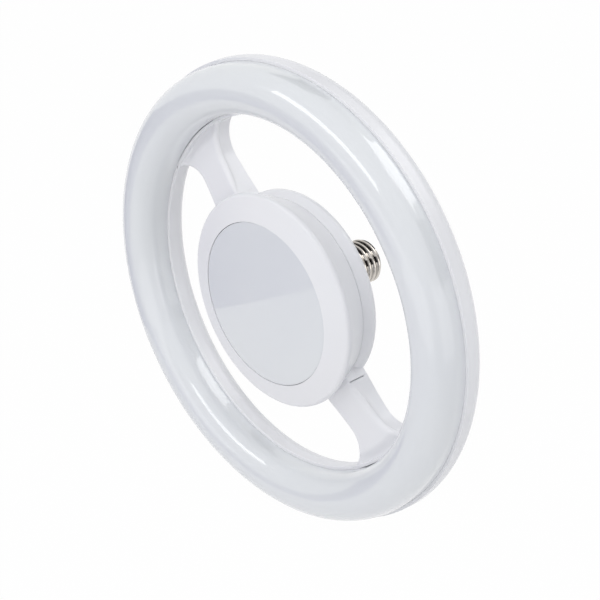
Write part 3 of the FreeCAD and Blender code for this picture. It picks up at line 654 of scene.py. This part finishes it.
def tube_edge(first, last):
    """Rounded edge of a straight wall, from its first side to its last."""
    first, last = RING_RADIUS + first, RING_RADIUS + last
    return rounded([(first, crown_y + 1), (first, edge_y, SKIRT_ROUND),
                    (last, edge_y, SKIRT_ROUND), (last, crown_y + 1)])


trough = (tube_crown(TUBE_HALF, -180, 0, 48) + tube_edge(TUBE_HALF, tube_inner)
          + tube_crown(tube_inner, 0, -180, 36) + tube_edge(-tube_inner, -TUBE_HALF))
finish_piece("tube_diffuser", lathe("tube_diffuser", trough), opal, ["ring_diffuser"])

# %% [markdown]
# ## The ring's base
# The base of the ring and both arms are one moulding. The base by itself is a channel, so it is
# a section for the lathe: an outside with a flat back, a lip to each side of the tube, and two
# ribs in the channel that carry the boards. The lips have sharp edges towards the tube, which
# keeps the gap between them a thin dark line.

# %% Section of the ring's base
BASE_HALF = 16.0
BASE_DEPTH = 12.0
BASE_BACK = 11.2
BASE_WALL = 2.0
LIP_HALF = 15.7
INNER_LIP_ROUND = 0.45
OUTER_LIP_ROUND = 0.225
LIP_SHARP = 0.05             # rounding of a lip's edge beside the tube
SLIP = 0.03                  # the tube sits tight between the lips
RIB_PLACE = 7.6
RIB_WIDE = 1.4
BOARD_Y = 1.0
BOARD_THICK = 1.2
channel_half = TUBE_HALF + SLIP
channel_depth = BASE_DEPTH - BASE_WALL
floor_y = BASE_BACK - BASE_WALL


def channel_turn(half):
    """Angle on the channel's ellipse where it is this far from the centre line."""
    return math.degrees(math.acos(half / channel_half))


def outside(start, end):
    return ellipse((RING_RADIUS, 0.0), BASE_HALF, BASE_DEPTH, start, end)


def channel(start, end, pieces):
    return ellipse((RING_RADIUS, 0.0), channel_half, channel_depth, start, end, pieces)


def base_profile():
    flat = math.degrees(math.asin(BASE_BACK / BASE_DEPTH))
    bottom = math.degrees(math.asin(floor_y / channel_depth))
    seat = BOARD_Y + BOARD_THICK
    near, far = RIB_PLACE - RIB_WIDE / 2, RIB_PLACE + RIB_WIDE / 2
    inner_lip = rounded([
        (RING_RADIUS - BASE_HALF, 0), (RING_RADIUS - LIP_HALF, SEAM_Y, INNER_LIP_ROUND),
        (RING_RADIUS - channel_half, SEAM_Y, LIP_SHARP), (RING_RADIUS - channel_half, 0)])
    outer_lip = rounded([
        (RING_RADIUS + channel_half, 0), (RING_RADIUS + channel_half, SEAM_Y, LIP_SHARP),
        (RING_RADIUS + LIP_HALF, SEAM_Y, OUTER_LIP_ROUND), (RING_RADIUS + BASE_HALF, 0)])
    inside = channel(180, 180 - channel_turn(far), 10)
    inside += [(RING_RADIUS - far, seat), (RING_RADIUS - near, seat)]
    inside += channel(180 - channel_turn(near), 180 - bottom, 3) + channel(bottom, channel_turn(near), 3)
    inside += [(RING_RADIUS + near, seat), (RING_RADIUS + far, seat)]
    inside += channel(channel_turn(far), 0, 10)
    return (outside(0, flat) + outside(180 - flat, 180)[:-1] + inner_lip[:-1]
            + inside[:-1] + outer_lip[:-1])


base_mesh = lathe("ring_base", base_profile())
print("ring base", len(base_mesh.polygons), "faces")

# %% [markdown]
# ## Ribs and booleans
# An arm changes along its length, so a lathe can't make it. Its sections are joined like the
# ribs of a boat, and the closed bodies are then united and cut, as in the mould. The arm's ends
# get strips of narrow faces, because one face with a hundred corners shades badly.


# %% Ribs joined into a closed body
def close_end(made, row, bend):
    """Cap one end; the row starts at the left back edge and runs over the front."""
    if bend == 0:
        made.faces.new(row)
        return
    across = (len(row) - 2 * bend) // 2
    front = row[bend:bend + across]
    back = row[2 * bend + across:][::-1]
    made.faces.new(row[:bend] + [front[0], back[0]])
    made.faces.new([front[-1]] + row[bend + across:2 * bend + across] + [back[-1]])
    for k in range(across - 1):
        made.faces.new((front[k], front[k + 1], back[k + 1], back[k]))


def loft(name, sections, bend=0):
    """Closed body through sections with equally many points.

    Where bend isn't 0, that many points at each side of a section run round its edges, and
    the caps between them are strips from the front to the back.
    """
    def build(made):
        rows = [[made.verts.new(point) for point in section] for section in sections]
        for here, there in zip(rows, rows[1:]):
            band(made, here, there)
        for row in (rows[0], rows[-1]):
            close_end(made, row, bend)
    return mesh_from(name, build)


def volume_of(mesh):
    """Volume of a closed mesh in cubic centimetres."""
    body = bmesh.new()
    body.from_mesh(mesh)
    volume = body.calc_volume(signed=True)
    body.free()
    return volume * 1e6


def cut_or_join(mesh, other, operation):
    """Boolean of two closed meshes; returns a new mesh."""
    first, second = bpy.data.objects.new("first", mesh), bpy.data.objects.new("second", other)
    for body in (first, second):
        scene.collection.objects.link(body)
    step = first.modifiers.new("step", "BOOLEAN")
    step.operation = operation
    step.solver = "MANIFOLD"
    step.object = second
    apply_modifiers(first)
    result = first.data
    for body in (first, second):
        bpy.data.objects.remove(body)
    print(operation.lower(), other.name, "leaves", round(volume_of(result), 2), "cm3")
    return result


print("ring base", round(volume_of(base_mesh), 2), "cm3")

# %% [markdown]
# ## The arms
# An arm's front slopes from the hub to the ring's lip. Its sides flare into the ring with a
# large radius, and its front edges are rounded. At its foot it doesn't run straight into the
# ring: the photograph shows a shallow valley there, then the thin rim of the ring's lip and a
# dark gap before the tube. In an arm's own coordinates s runs outward along it, t across it
# and y along the lamp's axis.

# %% Plan and front of an arm
ARM_ANGLES = (137.8, 317.8)  # from +X towards +Z, seen from the front
ARM_HALF = 12.3
ARM_FRONT = -8.3             # front face beside the hub
ARM_START = 60.93            # the arm's end, tight against the hub's socket
ARM_END = 61.5               # ends the slit that is left open on one side
FLARE_START = 82.0
FLARE_ROUND = 18.0
RAMP_END = 86.0
RAMP_SOFT = 7.0              # length over which the slope eases out
FOOT_DIP = 2.4               # valley in front of the ring's lip
FOOT_START = 96.5
FOOT_DEEPEST = 102.8
FOOT_FADE = 7.5              # degrees to each side of the arm
WALL_MIDDLE = 1.1            # the arms end inside the base's wall


def arm_front(s):
    """Front face: a slope from the hub to the ring's lip, eased at its end."""
    slope = (SEAM_Y - ARM_FRONT) / (RAMP_END - ARM_END)
    rest = RAMP_END - s
    if rest > RAMP_SOFT:
        return SEAM_Y - slope * rest
    if rest < -RAMP_SOFT:
        return SEAM_Y
    return SEAM_Y - slope * (rest + RAMP_SOFT) ** 2 / (4 * RAMP_SOFT)


def foot_valley(radius, aside):
    """Extra depth of the front face just before the lip; it fades towards the arm's sides."""
    fade = 1 - eased((aside - FOOT_FADE) / FOOT_FADE)
    return FOOT_DIP * fade * eased((radius - FOOT_START) / (FOOT_DEEPEST - FOOT_START))


def wall_radius(y):
    """Where the middle of the base's inner wall lies, at a place along the axis."""
    half, deep = BASE_HALF - WALL_MIDDLE, BASE_DEPTH - BASE_WALL / 2
    return RING_RADIUS - half * math.sqrt(1 - (max(y, 0.0) / deep) ** 2)


def side_point(station, inset):
    """Point (s, t) of an arm's plan on its +t side, moved inward by an inset."""
    kind, value = station
    bend = FLARE_ROUND + inset
    if kind == "straight":
        return value, ARM_HALF - inset
    if kind == "flare":
        return FLARE_START + bend * math.sin(value), ARM_HALF + FLARE_ROUND - bend * math.cos(value)
    return FLARE_START + bend, ARM_HALF + FLARE_ROUND + value


stations = [("straight", ARM_START + (FLARE_START - ARM_START) * k / 12) for k in range(12)]
stations += [("flare", math.radians(90.0 * k / 30)) for k in range(31)]
stations += [("beyond", 2.0 * k) for k in range(1, 4)]
print("arm stations:", len(stations))

# %% Sections of an arm
ARM_BACK = 6.0
ARM_EDGE = 1.6               # rounding of the front edges at the hub
ARM_EDGE_WIDE = 2.5          # and from here on to the ring
ARM_EDGE_GROWS = 12.0
SIDE_HOLLOW = ((0.25, 0.10), (0.7, 0.42), (1.2, 0.66), (2.0, 0.82), (3.6, 0.9))    # depth, inset
SIDE_BACK = 0.45             # inset of the sides at the back
HOLLOW_FADES = 0.8           # turn of the flare from which the sides' hollow fades, in radians
ACROSS = 26                  # points across an arm's front
PULLS = 8                    # last ribs, pulled into the base's wall
edge_turns = [math.radians(90.0 * k / 6) for k in range(7)]


def settled(s, t, y, reach, on_front=False):
    """Keep a point within the base's wall, or pull it there as reach goes from 0 to 1."""
    radius, limit = math.hypot(s, t), wall_radius(y)
    wanted = min(radius, limit)
    wanted += (limit - wanted) * reach
    dip = foot_valley(wanted, math.degrees(abs(math.atan2(t, s)))) if on_front else 0.0
    return s * (wanted / radius), t * (wanted / radius), y + dip


def arm_section(station, reach):
    """Points (s, t, y) of a rib, from the left back edge over the front and along the back."""
    grown = eased((side_point(station, 0.0)[0] - ARM_START) / ARM_EDGE_GROWS)
    edge = ARM_EDGE + (ARM_EDGE_WIDE - ARM_EDGE) * grown
    right = [settled(*side_point(station, SIDE_BACK * grown), ARM_BACK, reach)]
    if station[0] != "straight":
        grown *= 1 - eased((station[1] if station[0] == "flare" else 2.0) - HOLLOW_FADES)
    for depth, inset in SIDE_HOLLOW[::-1]:
        s, t = side_point(station, inset * grown)
        right.append(settled(s, t, arm_front(s) + edge + depth, reach))
    for turn in edge_turns:
        s, t = side_point(station, edge * (1 - math.cos(turn)))
        y = arm_front(s) + edge * (1 - math.sin(turn))
        right.append(settled(s, t, y, reach, math.sin(turn) > 0.5))
    s, t = side_point(station, edge)
    places = [t * (2 * k / (ACROSS - 1) - 1) for k in range(ACROSS)]
    front_row = [settled(s, place, arm_front(s), reach, True) for place in places]
    back_row = [settled(s, place, ARM_BACK, reach) for place in places]
    left = [(s, -t, y) for s, t, y in right[:-1]]
    return left + front_row + right[:-1][::-1] + back_row[::-1]


def arm_in_frame(points, angle):
    """Turn (s, t, y) points of a rib to an arm's angle."""
    turn = math.radians(angle)
    return [Vector((s * math.cos(turn) - t * math.sin(turn), y - RIM_Y,
                    s * math.sin(turn) + t * math.cos(turn))) * MM for s, t, y in points]


def arm_body(angle):
    ribs = [arm_section(station, 0.0) for station in stations]
    ribs += [arm_section(stations[-1], k / PULLS) for k in range(1, PULLS + 1)]
    return loft("arm", [arm_in_frame(rib, angle) for rib in ribs], len(edge_turns) + len(SIDE_HOLLOW))


print("points in a rib:", len(arm_section(stations[0], 0.0)))

# %% [markdown]
# ## Wire channel, tongue and slit
# An arm is hollow behind, for the wires, and has a seat for its cover there. Its tongue enters
# the hub and is clamped between the two shells. The joint to the hub is tight, except for a
# slit at one side that the photograph shows. All of these are straight bodies along the arm, so
# each is an outline of t and y at a few places s.

# %% Hollow of an arm and its tongue
ARM_WALL = 2.0
COVER_THICK = 1.6
COVER_STEP = 1.0
COVER_END = 99.0
TONGUE = (48.0, 62.3)
TONGUE_HALF = 10.1
TONGUE_FRONT = -6.0
TONGUE_BACK = 3.8
TONGUE_WALL = 1.8
SLIT_FRONT = -7.2
SLIT_BACK = 3.2
SLIT_DEEP = 1.5
tongue_inner = TONGUE_HALF - TONGUE_WALL
channel_start = ARM_END + ARM_WALL


def box(left, right, low, high):
    return [(left, high), (left, low), (right, low), (right, high)]


def prism(name, outline, places, angle):
    """Straight body along an arm; its outline may be a function of the place."""
    ribs = [[(s, t, y) for t, y in (outline(s) if callable(outline) else outline)] for s in places]
    return loft(name, [arm_in_frame(rib, angle) for rib in ribs])


def hollow(s):
    """Wire channel with the wider seat of its cover."""
    inner, seat = ARM_HALF - ARM_WALL, ARM_BACK - COVER_THICK
    outer, top = inner + COVER_STEP, arm_front(s) + ARM_WALL + 0.2
    half = [(outer, ARM_BACK + 1), (outer, seat), (inner, seat), (inner, top)]
    return [(-t, y) for t, y in half] + half[::-1]


tongue = box(-TONGUE_HALF, TONGUE_HALF, TONGUE_FRONT, TONGUE_BACK)
tongue += box(-tongue_inner, tongue_inner, TONGUE_FRONT + TONGUE_WALL, TONGUE_BACK)[::-1]
joint = box(-tongue_inner, tongue_inner, TONGUE_FRONT + 2.2, TONGUE_BACK + 0.2)
slit = box(ARM_HALF - SLIT_DEEP, ARM_HALF + 1, SLIT_FRONT, SLIT_BACK)


def finished_arm(angle):
    arm = arm_body(angle)
    for name, outline, places, operation in (
            ("hollow", hollow, (channel_start, RAMP_END, COVER_END), "DIFFERENCE"),
            ("tongue", tongue, TONGUE, "UNION"),
            ("joint", joint, (ARM_START - 1, channel_start + 1), "DIFFERENCE"),
            ("slit", slit, (ARM_START - 1, ARM_END + 0.1), "DIFFERENCE")):
        arm = cut_or_join(arm, prism(name, outline, places, angle), operation)
    return arm


arms = [finished_arm(angle) for angle in ARM_ANGLES]
print("arms:", len(arms))

# %% [markdown]
# ## Base and arms in one piece
# The arms are united with the base. Then each foot gets a short groove beside the tube, which
# is the dark gap of the photograph, and an opening through which the wires reach the channel.

# %% Base and arms in one piece
FOOT_GAP = 0.35              # groove between the lip and the tube at an arm's foot
FOOT_GAP_DEEP = 2.4
FOOT_GAP_HALF = 13.4         # degrees to each side of an arm
FOOT_GAP_STEPS = 24          # to each side of the middle
WIRE_HALF = 4.0
WIRE_OPENING = (COVER_END - 2, 108.2)


def foot_groove(angle):
    """Short groove along the tube, open to the front."""
    edge = RING_RADIUS - channel_half
    bottom, top = SEAM_Y + FOOT_GAP_DEEP, SEAM_Y - 1
    ribs = []
    for k in range(2 * FOOT_GAP_STEPS + 1):
        place = k / FOOT_GAP_STEPS - 1
        turn = math.radians(angle + FOOT_GAP_HALF * place)
        side = edge - FOOT_GAP * math.sqrt(1.02 - place * place)
        corners = [(side, bottom), (edge + 0.8, bottom), (edge + 0.8, top), (side, top)]
        ribs.append([in_frame(r, y, turn) for r, y in corners])
    return loft("groove", ribs)


frame_mesh = base_mesh
for arm in arms:
    frame_mesh = cut_or_join(frame_mesh, arm, "UNION")
for angle in ARM_ANGLES:
    opening = prism("slot", box(-WIRE_HALF, WIRE_HALF, edge_y + 0.3, 3.0), WIRE_OPENING, angle)
    for cut in (foot_groove(angle), opening):
        frame_mesh = cut_or_join(frame_mesh, cut, "DIFFERENCE")
finish_piece("ring_base_and_arms", frame_mesh, housing, ["ring_frame"])

# %% [markdown]
# ## The centre diffuser
# The centre light's cover is a shallow opal dome in the bezel's opening. Its rim has a small
# rounding, so a fine dark seam and a fine bright line run round it.

# %% Centre diffuser
DISC_RADIUS = 47.6
DISC_EDGE_Y = -21.4
DISC_CROWN = -23.3
DISC_WALL = 1.8
DISC_FOOT_Y = -13.3
RIM_ROUND = 0.35
FOOT_ROUND = 0.2
FLANGE_RADIUS = 50.3
FLANGE_Y = -18.9
FLANGE_THICK = 1.6


def dome(edge_radius, edge_place, crown, pieces=28):
    """Points of a shallow arc from the axis out to an edge."""
    rise = edge_place - crown
    bend = (edge_radius ** 2 + rise ** 2) / (2 * rise)
    turn = math.asin(edge_radius / bend)
    turns = [turn * k / pieces for k in range(pieces + 1)]
    return [(bend * math.sin(a), crown + bend * (1 - math.cos(a))) for a in turns]


def disc_section():
    inner = DISC_RADIUS - DISC_WALL
    front = dome(DISC_RADIUS - 0.5, DISC_EDGE_Y, DISC_CROWN)
    rim = rounded([front[-1], (DISC_RADIUS, DISC_EDGE_Y, RIM_ROUND), (DISC_RADIUS, FLANGE_Y),
                   (FLANGE_RADIUS, FLANGE_Y), (FLANGE_RADIUS, FLANGE_Y + FLANGE_THICK),
                   (DISC_RADIUS, FLANGE_Y + FLANGE_THICK), (DISC_RADIUS, DISC_FOOT_Y, FOOT_ROUND),
                   (inner, DISC_FOOT_Y, FOOT_ROUND), (inner, DISC_EDGE_Y + DISC_WALL)])
    back = dome(inner, DISC_EDGE_Y + DISC_WALL, DISC_CROWN + DISC_WALL)[::-1]
    return front + rim[1:] + back[1:]


finish_piece("centre_diffuser", lathe("centre_diffuser", disc_section()), opal, ["hub_diffuser"])

# %% [markdown]
# ## The screw cap
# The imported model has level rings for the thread. A real screw shell is rolled: its round
# crests climb by one pitch each turn and fade out at both ends. The lathe takes a section that
# changes with the turn, so the thread is one formula.

# %% Screw cap
CAP_RIM = 13.15
CAP_ROOT = 12.1
CAP_END = 59.2
CAP_END_RADIUS = 9.9
CAP_WALL = 0.5
CAP_STEPS = 120              # round the shell
CAP_LEVELS = 72              # along it
THREAD_DEPTH = 1.0
THREAD_PITCH = 3.629
THREAD_START = 41.3          # where the crests begin to rise and end to fall
THREAD_STOP = 57.6
THREAD_EASE = 1.4
LAST_CREST = 56.5


def thread_radius(y, turn):
    """Outer radius of the shell: a right-handed thread between its faded ends."""
    phase = (y - LAST_CREST) / THREAD_PITCH + turn / (2 * math.pi)
    wave = 0.5 + 0.5 * math.cos(2 * math.pi * phase)
    rise = eased((y - THREAD_START) / THREAD_EASE + 0.5)
    fall = eased((THREAD_STOP - y) / THREAD_EASE + 0.5)
    return CAP_ROOT + THREAD_DEPTH * wave * min(rise, fall)


def cap_section(turn):
    """Outside from the rim to the end, then the inside back to the rim."""
    skirt = [(CAP_RIM, RIM_Y), (CAP_RIM, RIM_Y + 1.9), (CAP_RIM - 0.25, RIM_Y + 2.3)]
    first, last = RIM_Y + 2.7, CAP_END - 1.2
    levels = [first + (last - first) * k / CAP_LEVELS for k in range(CAP_LEVELS + 1)]
    outer = [(thread_radius(y, turn), y) for y in levels]
    closing = [(CAP_ROOT - 0.5, CAP_END - 0.7), (CAP_ROOT - 1.3, CAP_END - 0.25),
               (CAP_END_RADIUS, CAP_END), (CAP_END_RADIUS - CAP_WALL, CAP_END)]
    inner = [(r - CAP_WALL, y) for r, y in outer[::-4]]
    return skirt + outer + closing + inner + [(CAP_ROOT - CAP_WALL, RIM_Y)]


shell_mesh = lathe("screw_shell", cap_section, CAP_STEPS)
finish_piece("screw_shell", shell_mesh, nickel, ["cap_shell"], False)

# %% [markdown]
# ## Pieces that repeat
# The ring carries four rows of light packages, the centre light has circles of them, and four
# screws clamp the arms. Each kind is drawn once in a Geometry Nodes tree and set on points
# whose places follow from their number. The tree's inputs are the real sizes.


# %% Helpers for Geometry Nodes
def new_tree(name, **inputs):
    """Geometry Nodes tree; returns it, its inputs, its result and a function for its sums."""
    tree = bpy.data.node_groups.new(name, "GeometryNodeTree")
    for kind, sockets in inputs.items():
        for socket in sockets:
            tree.interface.new_socket(socket, in_out="INPUT", socket_type="NodeSocket" + kind)
    tree.interface.new_socket("Geometry", in_out="OUTPUT", socket_type="NodeSocketGeometry")

    def calc(operation, *values):
        return math_of(tree, operation, *values)

    given = tree.nodes.new("NodeGroupInput").outputs
    return tree, given, tree.nodes.new("NodeGroupOutput").inputs[0], calc


def moved(tree, geometry, y, turn=0.0):
    """Turn a body about X and shift it along the lamp's axis."""
    return node_of(tree, "GeometryNodeTransform", {
        "Geometry": geometry, "Translation": vector_of(tree, 0.0, y, 0.0), "Rotation": (turn, 0.0, 0.0)})


def on_points(tree, shape, count, position, turn):
    """Copies of a shape on numbered points, each turned about the lamp's axis."""
    points = node_of(tree, "GeometryNodePoints", {"Count": count, "Position": position})
    back = math_of(tree, "MULTIPLY", turn, -1.0)
    copies = node_of(tree, "GeometryNodeInstanceOnPoints", {
        "Points": points, "Instance": shape, "Rotation": vector_of(tree, 0.0, back, 0.0)})
    return node_of(tree, "GeometryNodeRealizeInstances", {"Geometry": copies})


def mesh_of_tree(name, tree, values):
    """Plain mesh from a tree, its inputs set by the sockets' identifiers."""
    carrier = bpy.data.objects.new(name, bpy.data.meshes.new(name))
    modifier = carrier.modifiers.new("shape", "NODES")
    modifier.node_group = tree
    for socket in tree.interface.items_tree:
        if socket.in_out == "INPUT":
            modifier[socket.identifier] = values[socket.name]
    scene.collection.objects.link(carrier)
    apply_modifiers(carrier)
    mesh = carrier.data
    bpy.data.objects.remove(carrier)
    return mesh


print("tree helpers ready")

# %% [markdown]
# ## Light packages
# A light package is a small white block with a yellow window. Number n of a row sits at the
# middle of the row's n-th share, and each row starts a fixed turn after the one before. One
# tree serves both lights: a circle of the centre light is a set of rows with one package each.


# %% Tree of the light packages
WINDOW_SHARES = (0.72, 0.12, 0.76)    # of the package's width, height and length


def light_tree():
    """Packages in rows along a circle; each has a body and a yellow window in front."""
    tree, given, result, calc = new_tree(
        "light_packages", Int=("Rows", "Per Row"), Material=("Body", "Window"),
        Float=("Radius", "Row Turn", "Row Sweep", "Width", "Length", "Height", "Board"))
    index = tree.nodes.new("GeometryNodeInputIndex").outputs[0]
    row = calc("FLOOR", calc("DIVIDE", index, given["Per Row"]))
    place = calc("MODULO", index, given["Per Row"])
    share = calc("DIVIDE", calc("ADD", place, 0.5), given["Per Row"])
    along = calc("MULTIPLY", calc("SUBTRACT", share, 0.5), given["Row Sweep"])
    turn = calc("ADD", along, calc("MULTIPLY", row, given["Row Turn"]))
    x, z = (calc("MULTIPLY", calc(wave, turn), given["Radius"]) for wave in ("COSINE", "SINE"))
    package = [given[name] for name in ("Width", "Height", "Length")]
    window = [calc("MULTIPLY", *pair) for pair in zip(package, WINDOW_SHARES)]
    body, pane = (node_of(tree, "GeometryNodeMeshCube", {"Size": vector_of(tree, *size)})
                  for size in (package, window))
    pane = moved(tree, pane, calc("MULTIPLY", given["Height"], -0.5))
    pane = node_of(tree, "GeometryNodeStoreNamedAttribute", {
        "Geometry": pane, "Name": "window", "Value": True}, data_type="BOOLEAN", domain="FACE")
    shape = node_of(tree, "GeometryNodeJoinGeometry", {0: [body, pane]})
    raised = calc("SUBTRACT", given["Board"], calc("MULTIPLY", given["Height"], 0.5))
    count = calc("MULTIPLY", given["Rows"], given["Per Row"])
    copies = on_points(tree, shape, count, vector_of(tree, x, raised, z), turn)
    plain = node_of(tree, "GeometryNodeSetMaterial", {"Geometry": copies, "Material": given["Body"]})
    marked = node_of(tree, "GeometryNodeInputNamedAttribute", {"Name": "window"}, data_type="BOOLEAN")
    feed(tree, result, node_of(tree, "GeometryNodeSetMaterial", {
        "Geometry": plain, "Selection": marked, "Material": given["Window"]}))
    return tree


LIGHTS = light_tree()
print("tree:", LIGHTS.name, "with", len(LIGHTS.nodes), "nodes")

# %% Lights of the ring and of the centre
PACKAGE_WIDE = 2.8
PACKAGE_LONG = 3.5
PACKAGE_HIGH = 0.8
PACKAGE_BODY = moulded_plastic("package_body", (0.84, 0.84, 0.82), (0.80, 0.80, 0.78), (0.3, 0.4))
PACKAGE_WINDOW = moulded_plastic("package_window", (0.80, 0.62, 0.16), (0.78, 0.66, 0.24), (0.12, 0.2))
BOARDS = 4
BOARD_GAP = 3.0
PER_BOARD = 24
HUB_BOARD_Y = -13.2
HUB_CIRCLES = 3
CIRCLE_MARGIN = 8.6          # from the outermost circle to the disc's edge


def light_mesh(name, radius, rows, row_turn, per_row, sweep, board_y):
    return mesh_of_tree(name, LIGHTS, {
        "Radius": radius * MM, "Rows": rows, "Row Turn": row_turn, "Per Row": per_row, "Row Sweep": sweep,
        "Width": PACKAGE_WIDE * MM, "Length": PACKAGE_LONG * MM, "Height": PACKAGE_HIGH * MM,
        "Board": (board_y - RIM_Y) * MM, "Body": PACKAGE_BODY, "Window": PACKAGE_WINDOW})


def circles_of_lights(made):
    for circle in range(HUB_CIRCLES + 1):
        count = max(1, 6 * circle)
        radius = (DISC_RADIUS - CIRCLE_MARGIN) * circle / HUB_CIRCLES
        made.from_mesh(light_mesh("circle", radius, count, 2 * math.pi / count, 1, 0.0, HUB_BOARD_Y))


board_sweep = 2 * math.pi / BOARDS - BOARD_GAP / RING_RADIUS
ring_lights = light_mesh("ring_lights", RING_RADIUS, BOARDS, math.pi / 2, PER_BOARD, board_sweep, BOARD_Y)
finish_piece("ring_lights", ring_lights, None, ["ring_leds"], False)
centre_lights = mesh_from("centre_lights", circles_of_lights)
for material in (PACKAGE_BODY, PACKAGE_WINDOW):
    centre_lights.materials.append(material)
finish_piece("centre_lights", centre_lights, None, ["hub_leds"], False)

# %% [markdown]
# ## Clamping screws
# Four screws hold the rear shell and clamp the arms' tongues, two beside each arm. A screw has
# a low head with a sloping top and a cross recess. The recess is cut with a boolean inside the
# tree, so a change of the head's size carries it along.


# %% Tree of the screws
HEAD_UPRIGHT = 0.6           # share of the head's height below its slope
HEAD_TOP = 0.8               # share of its radius at the top
RECESS_LONG = 1.25           # of its radius
SHANK_SUNK = 0.49            # of the shank's length, so that it overlaps the head
QUARTER = -math.pi / 2       # brings a body from +Z to +Y


def screw_tree():
    """Screws with a cross recess, two beside each arm."""
    tree, given, result, calc = new_tree(
        "cross_screws", Material=("Finish",), Float=(
            "Along", "Aside", "Arm Turn", "Head Radius", "Head Height", "Shank Radius",
            "Shank Length", "Seat", "Recess Wide", "Recess Deep"))
    radius, head, shank = given["Head Radius"], given["Head Height"], given["Shank Length"]
    wide, deep = given["Recess Wide"], given["Recess Deep"]
    low, high = (calc("MULTIPLY", head, share) for share in (HEAD_UPRIGHT, 1 - HEAD_UPRIGHT))
    rim = node_of(tree, "GeometryNodeMeshCylinder", {"Vertices": 48, "Radius": radius, "Depth": low})
    top = node_of(tree, "GeometryNodeMeshCone", {
        "Vertices": 48, "Radius Top": calc("MULTIPLY", radius, HEAD_TOP), "Radius Bottom": radius,
        "Depth": high})
    stem = node_of(tree, "GeometryNodeMeshCylinder", {
        "Vertices": 32, "Radius": given["Shank Radius"], "Depth": shank})
    solids = [moved(tree, solid, y, QUARTER) for solid, y in (
        (rim, calc("MULTIPLY", low, 0.5)), (top, low), (stem, calc("MULTIPLY", shank, -SHANK_SUNK)))]
    body = node_of(tree, "GeometryNodeMeshBoolean", {"Mesh 2": solids}, operation="UNION", solver="EXACT")
    length = calc("MULTIPLY", radius, RECESS_LONG)
    bars = [moved(tree, node_of(tree, "GeometryNodeMeshCube", {"Size": vector_of(tree, *size)}), head)
            for size in ((length, deep, wide), (wide, deep, length))]
    screw = node_of(tree, "GeometryNodeMeshBoolean", {"Mesh 1": body, "Mesh 2": bars},
                    operation="DIFFERENCE", solver="EXACT")
    index = tree.nodes.new("GeometryNodeInputIndex").outputs[0]
    arm = calc("FLOOR", calc("DIVIDE", index, 2.0))
    side = calc("SUBTRACT", calc("MULTIPLY", calc("MODULO", index, 2.0), 2.0), 1.0)
    turn = calc("ADD", given["Arm Turn"], calc("MULTIPLY", arm, math.pi))
    along, aside = given["Along"], calc("MULTIPLY", given["Aside"], side)
    cosine, sine = calc("COSINE", turn), calc("SINE", turn)
    x = calc("SUBTRACT", calc("MULTIPLY", along, cosine), calc("MULTIPLY", aside, sine))
    z = calc("ADD", calc("MULTIPLY", along, sine), calc("MULTIPLY", aside, cosine))
    copies = on_points(tree, screw, 4, vector_of(tree, x, given["Seat"], z), turn)
    feed(tree, result, node_of(tree, "GeometryNodeSetMaterial", {
        "Geometry": copies, "Material": given["Finish"]}))
    return tree


SCREWS = screw_tree()
print("tree:", SCREWS.name, "with", len(SCREWS.nodes), "nodes")

# %% Clamping screws
SCREW_SIZES = {
    "Along": 53.6, "Aside": 6.0, "Head Radius": 2.8, "Head Height": 1.6, "Shank Radius": 1.5,
    "Shank Length": 17.0, "Seat": 6.5 - RIM_Y, "Recess Wide": 0.8, "Recess Deep": 1.8}
screws = mesh_of_tree("clamping_screws", SCREWS, {
    **{name: size * MM for name, size in SCREW_SIZES.items()},
    "Arm Turn": math.radians(ARM_ANGLES[0]), "Finish": steel})
finish_piece("clamping_screws", screws, None, ["hub_screws"], False)

# %% [markdown]
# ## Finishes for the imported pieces
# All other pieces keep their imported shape. The record says which slot each of them has, and a
# loop gives every visible node the finish of its slot.

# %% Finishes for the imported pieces
slots = {row["node"]: row["material_slot"] for row in frame["record"]["subparts"]}
visible = {name: node for name, node in nodes.items() if not node.hide_render}
for name, node in visible.items():
    for place in node.material_slots:
        place.material = finishes[slots[name]]
print("nodes with a finish:", len(visible))
